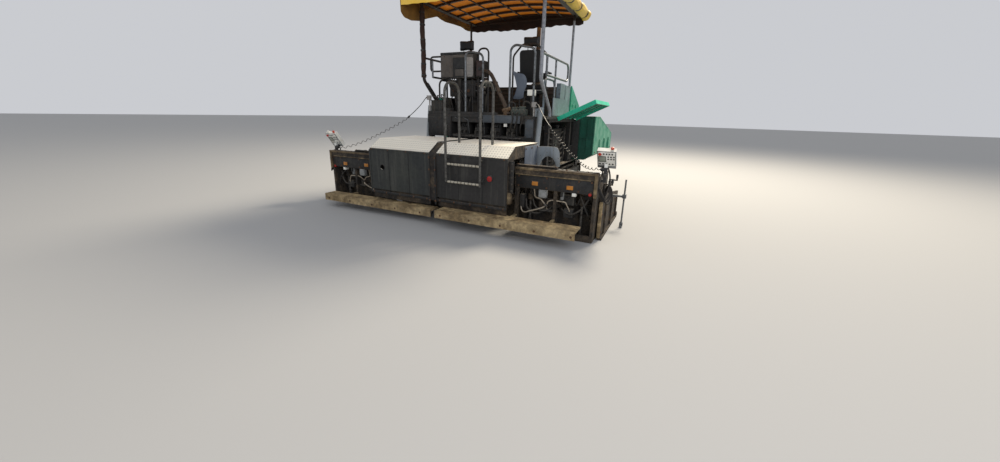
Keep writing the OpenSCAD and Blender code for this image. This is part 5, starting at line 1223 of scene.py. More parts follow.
# %% Padded pieces
def soft_block(name, low, high, turn_x=0.0, pivot=None, voxel=0.012, swell=0.022, pull=0.1):
    """A padded block: its faces crown, its sides pull in between the corners, its edges stay soft."""
    low, high = Vector(low), Vector(high)
    middle, half = (low + high) / 2, (high - low) / 2
    obj = plate(name, low + Vector((swell,) * 3) * 0.55, high - Vector((swell,) * 3) * 0.55, min(half) * 0.42,
        steps=4)
    modify(obj, "REMESH", mode="VOXEL", voxel_size=voxel)
    start = [v.co.copy() for v in obj.data.vertices]
    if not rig.quick():
        alone(obj)
        cloth = obj.modifiers.new("cloth", "CLOTH")
        cloth.settings.use_pressure = True
        cloth.settings.uniform_pressure_force = 4.0
        cloth.settings.effector_weights.gravity = 0.0
        cloth.settings.quality = 4
        cloth.point_cache.frame_end = 20
        for step in range(1, 21):
            bpy.context.scene.frame_set(step)
        bpy.ops.object.modifier_apply(modifier=cloth.name)
        bpy.context.scene.frame_set(1)
    else:
        for vertex in obj.data.vertices:
            d = vertex.co - middle
            share = [min(1.0, abs(d[i]) / half[i]) for i in range(3)]
            for i in range(3):
                others = [1 - share[j] ** 2 for j in range(3) if j != i]
                vertex.co[i] += copysign(swell * share[i] * others[0] * others[1], d[i])
    for vertex, before in zip(obj.data.vertices, start):
        step = vertex.co - before
        if step.length > swell:
            vertex.co = before + step.normalized() * swell
        for i in range(3):
            vertex.co[i] = max(low[i] + 0.0005, min(high[i] - 0.0005, vertex.co[i]))
        d = vertex.co - middle
        waist = (1 - min(1.0, abs(d.x) / half.x) ** 2) * min(1.0, abs(d.y) / half.y) ** 4
        vertex.co.y -= copysign(pull * half.z * 0.25 * waist, d.y)
    if turn_x:
        turn = Matrix.Rotation(radians(turn_x), 4, "X")
        pivot = Vector(pivot)
        for vertex in obj.data.vertices:
            vertex.co = turn @ (vertex.co - pivot) + pivot
    return modify(obj, "SUBSURF", levels=1, render_levels=1)


def seam(name, points, d=0.007):
    """A welt seam round a cushion."""
    return hose(name, points + [points[0]], d, sides=8)


seat_y = -0.97
seat_top = 2.23
lean = 7.4


def at_seat(x, y, z):
    """A place measured from the rear middle of the seat's cushion."""
    return (seat_x + x, seat_y + y, seat_top + z)


for seat_name, seat_x in (("left", -0.7), ("right", 0.665)):
    pan = soft_block(f"seat_cushion_{seat_name}", at_seat(-0.238, 0.022, -0.108), at_seat(0.238, 0.478, -0.001))
    back = soft_block(f"seat_back_{seat_name}", at_seat(-0.218, 0.03, 0.002), at_seat(0.218, 0.122, 0.6),
        turn_x=lean, pivot=(seat_x, seat_y + 0.022, seat_top))
    head = soft_block(f"headrest_{seat_name}", at_seat(-0.165, -0.048, 0.618), at_seat(0.165, 0.04, 0.82),
        swell=0.02)
    pads = [soft_block(f"arm_pad_{seat_name}_{i}", at_seat(s * 0.28 - 0.029, 0.062, 0.192),
        at_seat(s * 0.28 + 0.029, 0.358, 0.234), swell=0.008, voxel=0.007) for i, s in enumerate((-1, 1))]
    for piece in [pan, back, head] + pads:
        finish(piece, seat_vinyl, smooth=60)
        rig.padded(piece, fill=0.75)
    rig.replaces(pan, "seats")
    # Everything hard of the seat: pedestal, slides, back shell, posts of the headrest, arms
    hard = [plate("seat_column", (seat_x - 0.1, seat_y + 0.07, 1.651), (seat_x + 0.1, seat_y + 0.29, 2.06), 0.01),
        plate("seat_bellows", (seat_x - 0.109, seat_y + 0.062, 1.86), (seat_x + 0.109, seat_y + 0.298, 1.92),
        0.012), plate("seat_bellows", (seat_x - 0.109, seat_y + 0.062, 1.95),
        (seat_x + 0.109, seat_y + 0.298, 2.01), 0.012), plate("seat_slides", (seat_x - 0.2, seat_y + 0.05, 2.06),
        (seat_x + 0.2, seat_y + 0.44, 2.125), 0.008)]
    corners = ((1, 1, 0), (-1, 1, 90), (-1, -1, 180), (1, -1, 270))
    shell_line = [(seat_x + sx * 0.15 + 0.06 * cos(radians(a + da)),
        seat_top + 0.305 + sz * 0.22 + 0.06 * sin(radians(a + da))) for sx, sz, a in corners
        for da in (0, 30, 60, 90)]
    shell = outlined("back_shell", shell_line, seat_y + 0.02, 0.028, edge=0.008, soft=False)
    turn = Matrix.Rotation(radians(lean), 4, "X")
    pivot = Vector((seat_x, seat_y + 0.022, seat_top))
    for vertex in shell.data.vertices:
        vertex.co = turn @ (vertex.co - pivot) + pivot
    hard.append(shell)
    hard += [bar("headrest_post", at_seat(dx, -0.005, 0.56), at_seat(dx, -0.005, 0.68), 0.014, sides=12)
        for dx in (-0.07, 0.07)]
    hard += [plate("arm_bracket", at_seat(s * 0.25 - 0.026, 0.066, 0.1), at_seat(s * 0.25 + 0.026, 0.112, 0.196),
        0.006) for s in (-1, 1)]
    hard += [plate("arm_hinge", at_seat(s * 0.232 - 0.022, 0.03, 0.08), at_seat(s * 0.232 + 0.022, 0.11, 0.14),
        0.006) for s in (-1, 1)]
    dress(f"seat_frame_{seat_name}", hard, seat_shell, slot="black_steel")
    outline = [at_seat(-0.205, 0.045, -0.03), at_seat(0.205, 0.045, -0.03), at_seat(0.225, 0.25, -0.03),
        at_seat(0.205, 0.455, -0.03), at_seat(-0.205, 0.455, -0.03), at_seat(-0.225, 0.25, -0.03)]
    finish(seam(f"seat_seam_{seat_name}", outline), seat_vinyl)
    finish(plate(f"seat_edge_strip_{seat_name}", (seat_x - 0.225, seat_y + 0.024, 2.112),
        (seat_x + 0.225, seat_y + 0.034, 2.13), 0.003), grey_plastic, slot="bare_steel")

# %% [markdown]
# ## Control cabinet and steering console
#
# Seen from behind, the cabinet shows a pale door, a dark recess and a ribbed louvre, under a dark rain lip.
# A small junction box with a round socket stands beside it, and a thick wrapped hose leaves it to the right.

# %% Control cabinet
cab_y = -1.25


def cab(x, y, z):
    """A place measured from the cabinet's rear face."""
    return (x, cab_y + y, z)


dress("cabinet_panels", [plate("cab_panel", cab(-1.13, -0.01, 2.352), cab(-0.855, 0.004, 2.752), 0.008),
    plate("cab_panel_top", cab(-1.13, -0.007, 2.7), cab(-0.4, 0.004, 2.752), 0.005)], cabinet_enamel)
ribs = [plate("louvre_rib", cab(-0.549, -0.016, 2.392 + i * 0.058), cab(-0.411, -0.005, 2.412 + i * 0.058), 0.004)
    for i in range(5)]
ribs.append(plate("cab_louvre", cab(-0.56, -0.008, 2.352), cab(-0.4, 0.004, 2.7), 0.006))
dress("cabinet_louvres", ribs, white_enamel, slot="pale_grey_paint")
finish(plate("cabinet_switch_panel", cab(-0.8, -0.012, 2.37), cab(-0.61, -0.003, 2.49), 0.004), cabinet_enamel)
dress("cabinet_recess", [plate("cab_recess", cab(-0.847, -0.004, 2.352), cab(-0.568, 0.004, 2.695), 0.003),
    plate("cab_recess_shelf", cab(-0.83, -0.022, 2.5), cab(-0.585, -0.002, 2.515), 0.002),
    plate("cab_top_band", cab(-1.138, -0.014, 2.756), cab(-0.392, 0.02, 2.799), 0.006)], dark_plastic)
bolted("cabinet_screws", [cab(x, -0.01, z) for x in (-1.115, -0.87) for z in (2.37, 2.68)]
    + [cab(x, -0.008, z) for x in (-0.55, -0.41) for z in (2.362, 2.69)], (0, -1, 0), 0.008, bare_steel)
dress("cabinet_legs", [bar("cab_leg", cab(x, 0.09, 1.65), cab(x, 0.09, 2.335), 0.034, sides=20)
    for x in (-1.06, -0.47)], black_tube)
dress("junction_box_lid", [plate("console_lid", cab(-0.332, -0.002, 2.36), cab(-0.178, 0.012, 2.62), 0.008),
    plate("console_hood", cab(-0.336, 0.0, 2.6), cab(-0.174, 0.1, 2.634), 0.008)], mauve_enamel,
    slot="pale_grey_paint")
dress("junction_box_socket", [bar("box_socket", cab(-0.255, 0.002, 2.49), cab(-0.255, -0.014, 2.49), 0.075,
    sides=32, edge=0.004), bar("box_socket_cap", cab(-0.255, -0.012, 2.49), cab(-0.255, -0.028, 2.49), 0.048,
    sides=32, edge=0.005)], dark_plastic)
finish(hose("wrapped_hose", [cab(-0.18, 0.03, 2.44), cab(-0.08, 0.01, 2.43), (0.094, -1.3, 2.245),
    (0.28, -1.47, 2.03), (0.45, -1.65, 1.87), (0.56, -1.7, 1.67)], 0.072, sides=20), brown_hose, slot="black_steel")
dress("wrapped_hose_bands", [bar("hose_band", a, b, 0.08, sides=24, edge=0.002)
    for a, b in (((-0.085, -1.241, 2.434), (-0.06, -1.247, 2.42)), ((0.27, -1.462, 2.041), (0.288, -1.48, 2.02)))],
    bare_steel)
finish(hose("cabinet_hoop", [cab(-0.36, 0.13, 1.65), cab(-0.36, 0.13, 2.86), cab(-0.14, 0.13, 2.86),
    cab(-0.14, 0.13, 1.65)], 0.034, sides=16, bend=0.09), black_tube)
dress("cabinet_cables", [hose("cab_cable", [cab(-0.95 + i * 0.05, 0.05, 2.335), cab(-0.94 + i * 0.05, 0.0, 2.2),
    cab(-0.8 + i * 0.06, 0.02, 1.95), cab(-0.82 + i * 0.08, 0.07, 1.655)], 0.018) for i in range(5)], hose_rubber)

# %% Shield, white box and hoop at the right of the platform
shield = outlined("curved_shield", [(0.372, 2.46), (0.45, 2.425), (0.53, 2.392), (0.64, 2.392), (0.692, 2.29),
    (0.692, 2.17), (0.625, 2.06), (0.66, 1.955), (0.52, 1.945), (0.39, 1.955), (0.5, 2.03), (0.515, 2.12),
    (0.48, 2.24), (0.455, 2.33), (0.4, 2.41)], -1.215, 0.012)
for vertex in shield.data.vertices:
    vertex.co.y += 1.2 * (vertex.co.x - 0.56) ** 2
finish(shield, shield_enamel, smooth=50)
dress("shield_feet", [bar("shield_foot", (x, -1.2, 1.65), (x, -1.2, 1.99), 0.028, sides=16) for x in (0.56, 0.65)],
    black_tube)
white = plate("white_case", (0.865, -1.61, 1.99), (1.0, -1.52, 2.09), 0.012)
white_foot = bar("white_case_post", (0.93, -1.57, 1.65), (0.93, -1.57, 2.0), 0.026, sides=16)
finish(white, pale_plastic)
finish(white_foot, black_tube)
finish(hose("seat_arch", [(0.33, -1.02, 1.65), (0.33, -1.02, 2.72), (0.52, -1.06, 2.9), (0.8, -1.06, 2.9),
    (0.99, -1.02, 2.72), (0.99, -1.02, 1.65)], 0.034, sides=16, bend=0.12), black_tube)

# %% Steering console: dashboard, levers, display
con_y = -0.3
dress("dashboard", [plate("dash_top", (-0.99, con_y - 0.012, 2.2), (-0.41, con_y + 0.05, 2.345), 0.012),
    plate("dash_hood", (-0.995, con_y + 0.02, 2.33), (-0.405, con_y + 0.15, 2.352), 0.008)], dark_plastic)
finish(plate("dash_display", (-0.64, con_y - 0.018, 2.235), (-0.48, con_y - 0.008, 2.325), 0.003), display_glass)
dress("dash_keys", [plate("dash_key", (-0.95 + 0.045 * i, con_y - 0.022, 2.235 + 0.04 * j),
    (-0.92 + 0.045 * i, con_y - 0.008, 2.26 + 0.04 * j), 0.004) for i in range(5) for j in range(2)], pale_plastic)
levers = []
for x in (-0.44, -0.96):
    levers.append(bar("lever", (x, con_y - 0.01, 2.3), (x, con_y - 0.05, 2.44), 0.01, sides=12))
    levers.append(bar("lever_knob", (x, con_y - 0.045, 2.42), (x, con_y - 0.056, 2.465), 0.032, sides=20,
        edge=0.012))
dress("dash_levers", levers, dark_plastic)

# %% [markdown]
# ## The canopy cloth
#
# The roof is one sheet of coated cloth over arched ribs. Between two ribs it sags, at its front edge a curtain
# hangs, the rear left corner has come loose and droops in folds, and at the right the side curtain is rolled up
# into a thick bundle that straps hold. Each sheet is a grid whose points are placed by the arch, the sag and the
# folds, and then gets its real thickness.

# %% Sheets of cloth
canopy_half, canopy_low, canopy_arch = 1.3, 3.59, 0.12
canopy_rear, canopy_long = -2.2, 2.45
arch_r = (canopy_half ** 2 + canopy_arch ** 2) / (2 * canopy_arch)
rib_places = [canopy_rear + 0.08 + i * (canopy_long - 0.16) / 6 for i in range(7)]


def arch_z(x):
    """Height of the roof's outer face over a place across the machine."""
    return canopy_low + canopy_arch - arch_r + sqrt(arch_r ** 2 - x * x)


def cloth_grid(name, across, along, place):
    """A grid of cloth whose points are placed by a function of two shares from 0 to 1."""
    select_none()
    bpy.ops.mesh.primitive_grid_add(x_subdivisions=across, y_subdivisions=along, size=1)
    obj = bpy.context.object
    obj.name = obj.data.name = name
    for vertex in obj.data.vertices:
        vertex.co = place(vertex.co.x + 0.5, vertex.co.y + 0.5)
    return obj


def cloth_skin(obj, thickness=0.0016):
    """Give a sheet its thickness and smooth it once."""
    modify(obj, "SUBSURF", levels=1, render_levels=1)
    return modify(obj, "SOLIDIFY", thickness=thickness, offset=-1.0)


def wrinkle(x, y, size, height, seed=0.0):
    """Small creases from a few waves that do not repeat together."""
    return height * (sin(x / size + seed) * cos(y / (size * 0.7) + 2 * seed) + 0.5
        * sin((x + 0.6 * y) / (size * 0.45) + 3 * seed)) / 1.5


def roof_place(u, v):
    x = -canopy_half + 2 * canopy_half * u
    y = canopy_rear + canopy_long * v
    near = min(rib_places, key=lambda rib: abs(rib - y))
    sag = min(1.0, abs(near - y) / 0.19)
    edge = max(0.0, 1.0 - (1.0 - abs(2 * u - 1)) * 12)
    z = arch_z(x) - 0.001 - 0.01 * sag * sag * (1 - 0.5 * edge) + wrinkle(x, y, 0.06, 0.0016) * sag
    return (x, y, z)


roof = cloth_skin(cloth_grid("canopy_roof", 56, 60, roof_place))


def curtain_place(width, low, y, depth, ragged, seed):
    """A curtain hung from the arch: waves grow towards its lower edge, which is ragged."""
    def place(u, v):
        x = -width + 2 * width * u
        top = arch_z(x) - 0.008
        hem = low + ragged * (0.4 * sin(9.1 * u + seed) + 0.3 * sin(31 * u + 2 * seed) + 0.25 * sin(83 * u) + 0.3)
        z = top + (hem - top) * (1 - v)
        loose = (1 - v) ** 0.8
        fold = depth * loose * (0.5 + 0.5 * sin(x * 17 + 1.5 * sin(x * 5 + seed)))
        return (x, y + fold, z)
    return place


front_curtain = cloth_skin(cloth_grid("canopy_front_curtain", 120, 10,
    curtain_place(1.285, 3.425, 0.236, 0.011, 0.03, 0.7)))
rear_valance = cloth_skin(cloth_grid("canopy_rear_valance", 120, 5,
    curtain_place(1.285, 3.415, -2.1985, 0.014, 0.012, 2.1)))


def left_place(u, v):
    """The loose left edge: it hangs lowest at the rear corner, in folds."""
    y = canopy_rear + canopy_long * u
    marks = ((0.0, 0.27), (0.04, 0.345), (0.12, 0.35), (0.21, 0.31), (0.32, 0.21), (0.44, 0.115), (0.54, 0.15),
        (0.66, 0.135), (0.8, 0.115), (0.92, 0.15), (1.0, 0.12))
    low, high = max(m for m in marks if m[0] <= u), min(m for m in marks if m[0] >= u)
    drop = low[1] if low == high else low[1] + (high[1] - low[1]) * (u - low[0]) / (high[0] - low[0])
    z = canopy_low + 0.002 - drop * (1 - v)
    fold = 0.011 * (1 - v) * (0.5 + 0.5 * sin(y * 21 + 2 * sin(y * 6)))
    if u < 0.36:
        fold += 0.055 * sin(pi * (1 - v)) * sin(pi * (u / 0.36)) ** 0.7
    return (-1.2995 + fold, y, z)


left_wall = cloth_skin(cloth_grid("canopy_left_wall", 90, 12, left_place))


def bundle_place(u, v):
    """The rolled curtain: a roll whose section changes along its length, pinched where straps hold it."""
    turn = 2 * pi * u
    y = canopy_rear + 0.004 + (canopy_long - 0.008) * v
    strap = min(abs(v - s) for s in (0.08, 0.29, 0.5, 0.71, 0.92))
    pinch = 1.0 - 0.26 * exp(-(strap / 0.03) ** 2)
    r = 0.1 * pinch * (1 + 0.05 * sin(3 * turn + 7 * v) + 0.025 * sin(5 * turn - 19 * v) + 0.018
        * sin(11 * turn + 31 * v))
    end = min(1.0, v / 0.006, (1 - v) / 0.006)
    return (1.322 + r * end * cos(turn), y, 3.596 + r * end * sin(turn) * 0.98)


bundle = cloth_grid("canopy_bundle", 48, 150, bundle_place)
alone(bundle)
bpy.ops.object.mode_set(mode="EDIT")
bpy.ops.mesh.select_all(action="SELECT")
bpy.ops.mesh.remove_doubles(threshold=0.0004)
bpy.ops.mesh.normals_make_consistent(inside=False)
bpy.ops.object.mode_set(mode="OBJECT")

for obj in (roof, front_curtain, rear_valance, left_wall, bundle):
    finish(obj, yellow_cloth, smooth=60)
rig.sheet(roof, flat=(2.61, 2.46), held="stretched", rests_on=["canopy_frame"])
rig.sheet(front_curtain, flat=(2.62, 0.26), held="hung", rests_on=["canopy_frame"])
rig.sheet(rear_valance, flat=(2.62, 0.25), held="hung", rests_on=["canopy_frame"])
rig.sheet(left_wall, flat=(2.46, 0.36), held="hung", rests_on=["canopy_frame"], area=0.47)
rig.padded(bundle, fill=0.8)
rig.replaces(roof, "canopy_cloth")

# The roof's inner face takes painted sunlight through the cloth and the valance's outer face a painted sunlit glow;
# the insides of the front curtain and the left wall take a painted shade
for obj, inner, lining in ((roof, (0, 0, -1), lit_cloth), (rear_valance, (0, -1, 0), lit_valance),
    (front_curtain, (0, -1, 0), painted_shade_cloth), (left_wall, (1, 0, 0), ochre_cloth)):
    obj.data.materials.append(lining)
    way = Vector(inner)
    for polygon in obj.data.polygons:
        if polygon.normal.dot(way) > 0.3:
            polygon.material_index = 1

# %% Straps of the bundle and hems
straps = []
for share in (0.08, 0.29, 0.5, 0.71, 0.92):
    y = canopy_rear + canopy_long * share
    select_none()
    bpy.ops.mesh.primitive_torus_add(major_radius=0.079, minor_radius=0.006, major_segments=36, minor_segments=8,
        location=(1.33, y, 3.6), rotation=(pi / 2, 0, 0))
    ring = bpy.context.object
    ring.scale = (1, 1, 3.2)
    straps.append(settle(ring))
dress("bundle_straps", straps, dark_plastic)
finish(hose("roof_hem_cord", [(-1.292, canopy_rear + 0.005, 3.585)]
    + [(x, canopy_rear + 0.006, arch_z(x) - 0.006) for x in [-1.2 + 0.2 * i for i in range(13)]]
    + [(1.292, canopy_rear + 0.005, 3.585)], 0.012), yellow_cloth)

# %% Long bars under the ribs, their clamps and the cords that tie the cloth
bars = []
for x in (-0.86, -0.43, 0.0, 0.43, 0.86):
    bars.append(bar("roof_bar", (x, -2.15, arch_z(x) - 0.062), (x, 0.2, arch_z(x) - 0.062), 0.026, sides=14))
for x in (-0.86, -0.43, 0.0, 0.43, 0.86):
    for y in rib_places:
        bars.append(plate("roof_clamp", (x - 0.02, y - 0.012, arch_z(x) - 0.078),
            (x + 0.02, y + 0.024, arch_z(x) - 0.046), 0.003))
dress("roof_bars", bars, black_tube)
dress("cloth_ties", [hose("cloth_tie", [(-1.18, y, 3.575), (-1.235, y + 0.01, 3.52), (-1.275, y + 0.015, 3.56),
    (-1.285, y, 3.582)], 0.008) for y in (-2.0, -1.5, -1.0, -0.5, 0.0)], dark_plastic)

# %% [markdown]
# ## The remotes
#
# A remote is a pale moulded case, tilted towards the person who walks beside it. Its face has a red stop
# button, an orange knob on top, a display window and rows of round keys.

# %% Remote panels
def remote_details(side):
    body = extension_of(side)
    middle = Vector((side * 2.5, -2.78, 1.155))
    tilt = Matrix.Rotation(radians(35), 4, "X")

    def placed(obj):
        obj.matrix_world = Matrix.Translation(middle) @ tilt
        return settle(obj)

    def key(x, z, d, tall=0.006):
        return bar("key", (x, -0.034, z), (x, -0.036 - tall, z), d, sides=20, edge=min(0.002, tall * 0.3))

    rim = [plate("remote_rim", (-0.121, -0.04, z), (0.121, -0.03, z + 0.01), 0.003) for z in (-0.141, 0.131)]
    rim += [plate("remote_rim", (x, -0.04, -0.141), (x + 0.01, -0.03, 0.141), 0.003) for x in (-0.121, 0.111)]
    finish(placed(joined(f"remote_rim_{side}", rim)), grey_plastic, body, slot="console_plastic")
    face = plate("remote_face", (-0.11, -0.038, -0.128), (0.11, -0.033, 0.128), 0.002)
    finish(placed(face), pale_plastic, body)
    stop = joined(f"stop_button_{side}", [bar("stop_stem", (-0.08, -0.034, 0.105), (-0.08, -0.052, 0.105), 0.03,
        sides=28), bar("stop_cap", (-0.08, -0.05, 0.105), (-0.08, -0.064, 0.105), 0.044, sides=28, edge=0.005)])
    finish(placed(stop), stop_red, body, slot="console_plastic")
    knob = joined(f"orange_knob_{side}", [bar("knob_stem", (0.07, 0, 0.138), (0.07, 0, 0.16), 0.03, sides=28),
        bar("knob_cap", (0.07, 0, 0.155), (0.07, 0, 0.178), 0.046, sides=28, edge=0.008)])
    finish(placed(knob), knob_orange, body, slot="console_plastic")
    screen = plate("remote_screen", (-0.1, -0.041, -0.03), (-0.012, -0.036, 0.055), 0.002)
    finish(placed(screen), display_glass, body)
    frame_of_screen = [plate("screen_frame", (-0.105, -0.0425, z), (-0.007, -0.036, z + 0.005), 0.001)
        for z in (-0.035, 0.055)]
    frame_of_screen += [plate("screen_frame", (x, -0.0425, -0.035), (x + 0.005, -0.036, 0.06), 0.001)
        for x in (-0.105, -0.012)]
    finish(placed(joined(f"screen_frame_{side}", frame_of_screen)), dark_plastic, body)
    keys = [key(-0.035 + 0.036 * i, 0.098, 0.022) for i in range(4)]
    keys += [key(0.022 + 0.036 * i, 0.052 - 0.036 * j, 0.022) for i in range(3) for j in range(2)]
    keys += [key(-0.088 + 0.042 * i, -0.068, 0.024) for i in range(5)]
    finish(placed(joined(f"remote_keys_{side}", keys)), dark_plastic, body)
    lower = plate("remote_lower_case", (-0.116, -0.039, -0.138), (0.116, -0.031, -0.094), 0.003)
    finish(placed(lower), grey_plastic, body)
    dress(f"inlet_gland_{side}", [bar("inlet_nut", (side * 2.437, -2.78, 1.0), (side * 2.455, -2.78, 1.0), 0.056,
        sides=6, edge=0.003), bar("inlet_sleeve", (side * 2.425, -2.78, 1.0), (side * 2.44, -2.78, 1.0), 0.03,
        sides=24, edge=0.002)], dark_plastic, body, slot="cord_black")
    dress(f"arm_clamp_{side}", [plate("arm_clamp", (side * 2.47, -2.812, 0.9), (side * 2.53, -2.748, 0.95), 0.006)],
        bare_steel, body)
    dress(f"remote_loops_{side}", [hose("remote_loop", [(side * 2.5, -2.752, 1.06), (side * 2.545, -2.735, 0.96),
        (side * 2.56, -2.76, 0.78), (side * 2.53, -2.8, 0.66), (side * 2.49, -2.78, 0.615)], 0.022),
        hose("remote_loop", [(side * 2.46, -2.752, 1.05), (side * 2.452, -2.735, 0.94), (side * 2.45, -2.88, 0.83),
        (side * 2.435, -2.93, 0.72), (side * 2.425, -2.9, 0.6)], 0.018)], hose_rubber, body)


remote_details(1)
remote_details(-1)

# %% [markdown]
# ## Tracks, wheels and end plates
#
# The frame gives each track as one loop with its shoes. Here the loop gets the side links and pins of its
# chain, and the wheels get hub covers with bolts.

# %% Track links, hub covers
track_back, track_long, track_rad = -0.88, 2.3, 0.3
chain_r, pitch_r = 0.265, 0.278
shoe_count = 43
loop_length = 2 * track_long + 2 * pi * pitch_r


def on_loop(s, r):
    """The place and the direction at a distance along the track's loop, as Y, Z, angle."""
    bend = pi * pitch_r
    s = s % loop_length
    if s < track_long:
        return track_back + s, track_rad - r, 0.0
    if s < track_long + bend:
        a = (s - track_long) / pitch_r
        return track_back + track_long + r * sin(a), track_rad - r * cos(a), a
    if s < 2 * track_long + bend:
        return track_back + track_long - (s - track_long - bend), track_rad + r, pi
    a = (s - 2 * track_long - bend) / pitch_r
    return track_back - r * sin(a), track_rad + r * cos(a), pi + a


link_master = plate("link_master", (-0.002, -0.044, -0.011), (0.003, 0.044, 0.011), 0.002)
pin_master = bar("pin_master", (-0.004, 0.036, 0), (0.006, 0.036, 0), 0.015, sides=10, edge=0.001)
link_master = joined("link_master", [link_master, pin_master])
for side, track in ((-1, "track_left"), (1, "track_right")):
    made = []
    for i in range(shoe_count):
        y, z, a = on_loop((i + 0.5) * loop_length / shoe_count, chain_r)
        for face in (1.1525, 0.8475):
            select_none()
            link = bpy.data.objects.new("link", link_master.data.copy())
            bpy.context.scene.collection.objects.link(link)
            flip = 1 if (face > 1) == (side > 0) else -1
            link.matrix_world = (Matrix.Translation((side * face, y, z)) @ Matrix.Rotation(a, 4, "X")
                @ Matrix.Diagonal((flip, 1, 1, 1)))
            made.append(settle(link))
    finish(outward(joined(f"{track}_links", made)), track_steel)
    caps = []
    for y in (track_back, track_back + track_long):
        caps.append(bar("hub_cover", (side * 1.088, y, track_rad), (side * 1.104, y, track_rad), 0.128, sides=36,
            edge=0.006))
        caps.append(bar("hub_cap", (side * 1.1, y, track_rad), (side * 1.118, y, track_rad), 0.06, sides=24,
            edge=0.006))
    dress(f"hub_covers_{side}", caps, engine_enamel)
    bolted(f"hub_bolts_{side}", [(side * 1.104, y + 0.046 * cos(k * pi / 4), track_rad + 0.046 * sin(k * pi / 4))
        for y in (track_back, track_back + track_long) for k in range(8)], (side, 0, 0), 0.009, rusty_steel)
bpy.data.objects.remove(link_master)

# %% End plates: bolts, springs round the spindles, wear shoe
# A coil goes up by its rise at each step, a twelfth of a turn
coil_r, coil_turns, coil_step, coil_rise = 0.024, 11, 0.5236, 0.00105
for side in (-1, 1):
    body = extension_of(side)
    bolted(f"end_plate_bolts_{side}", [(side * 2.5, y, z) for y in (-2.7, -2.36, -1.95, -1.5) for z in (0.1, 0.36)],
        (side, 0, 0), 0.018, rusty_steel, body)
    coils = []
    for y in (-2.64, -2.2):
        turn_path = [(side * 2.485 + coil_r * cos(t * coil_step), y + coil_r * sin(t * coil_step),
            0.625 + t * coil_rise) for t in range(12 * coil_turns)]
        coils.append(swept_tube("end_spring", [Vector(p) for p in turn_path], 0.007, 6))
    dress(f"end_springs_{side}", coils, bare_steel, body)
    dress(f"crank_grips_{side}", [bar("crank_grip", (side * 2.585, y, 0.8), (side * 2.585, y, 0.865), 0.034,
        sides=20, edge=0.006) for y in (-2.64, -2.2)], dark_plastic, body)
    finish(plate(f"end_plate_edge_{side}", (side * 2.462, -2.768, 0.03), (side * 2.508, -2.752, 0.55), 0.004),
        sandy_steel, body)

# %% [markdown]
# ## Body sides, flap bay and hopper
#
# Under the raised right flap lies the bay with the tank, its straps and the hoses to the conveyor drives. The
# wings have a rolled edge along their top, and the green hood has seams, latches and air slots.

# %% Flap bay
for side in (-1, 1):
    straps = [plate("tank_strap", (side * 0.7, y - 0.02, 1.398), (side * 1.036, y + 0.02, 1.405), 0.002)
        for y in (-0.55, 0.0)]
    straps += [plate("tank_strap", (side * 1.028, y - 0.02, 0.69), (side * 1.036, y + 0.02, 1.39), 0.002)
        for y in (-0.55, 0.0)]
    dress(f"tank_straps_{side}", straps, bare_steel)
    dress(f"tank_caps_{side}", [bar("tank_cap", (side * 0.9, y, 1.445), (side * 0.9, y, 1.475), 0.125, sides=32,
        edge=0.008) for y in (-0.79, 0.13)], dark_plastic)
    dress(f"tank_gauge_{side}", [plate("tank_gauge", (side * 1.028, -0.3, 0.95), (side * 1.042, -0.27, 1.2),
        0.004)], display_glass)
    bay = []
    for i in range(6):
        z = 0.8 + 0.11 * i
        bay.append(hose("bay_hose", [(side * 1.05, -1.02, z + 0.05), (side * 1.075, -0.8, z),
            (side * (1.082 + 0.008 * (i % 2)), -0.45, z + 0.04 * sin(i)), (side * 1.078, -0.1, z - 0.03),
            (side * 1.062, 0.22, z + 0.04), (side * 1.03, 0.38, z + 0.1)], 0.026 if i % 2 else 0.034))
    dress(f"bay_hoses_{side}", bay, brown_hose_dark)
    dress(f"bay_clips_{side}", [plate("hose_clip", (side * 1.036, y - 0.012, 0.74), (side * 1.108, y + 0.012, 1.42),
        0.003) for y in (-0.68, 0.1)], engine_enamel, slot="bare_steel")
    bolted(f"fender_bolts_{side}", [(side * 1.14, -1.0 + 0.3 * i, 0.682) for i in range(7)], (0, 0, 1), 0.014,
        rusty_steel)
    finish(plate(f"front_fender_box_{side}", (side * 0.9, 0.5, 0.683), (side * 1.12, 0.76, 1.02), 0.012),
        dark_enamel)

# %% Wings: rolled edge along the top, edge bolts
for side, body in ((-1, "wing_left"), (1, "wing_right")):
    edge = hose(f"wing_edge_{side}", [(side * 1.215, 0.842, 1.662), (side * 1.585, 0.842, 1.662),
        (side * 1.59, 0.87, 1.662), (side * 1.59, 1.34, 1.66), (side * 1.59, 2.3, 1.442),
        (side * 1.59, 3.225, 1.232)], 0.03, sides=12, bend=0.02)
    finish(edge, wing_green_lit_and_shaded, body)
    bolted(f"wing_bolts_{side}", [(side * 1.6, 1.0 + 0.35 * i, 0.86) for i in range(7)], (side, 0, 0), 0.02,
        rusty_steel, body)
    gussets = [plate("wing_gusset", (side * x, 0.816, 0.84), (side * (x + 0.012), 0.834, 1.6), 0.003)
        for x in (1.26, 1.42, 1.56)]
    gussets.append(plate("wing_rear_lip", (side * 1.205, 0.812, 1.16), (side * 1.59, 0.834, 1.172), 0.003))
    dress(f"wing_gussets_{side}", gussets, wing_green_lit_and_shaded, body)

# %% Green hood: seams, latches, air slots, lifting eyes
slope = atan2(2.25 - 1.88, 0.785 - 0.05)


def on_slope(x, t, lift=0.0):
    """A place on the hood's sloping top: t runs from its peak to its front edge."""
    y = 0.05 + t * 0.735
    return Vector((x, y + lift * sin(slope), 2.25 - t * 0.37 + lift * cos(slope)))


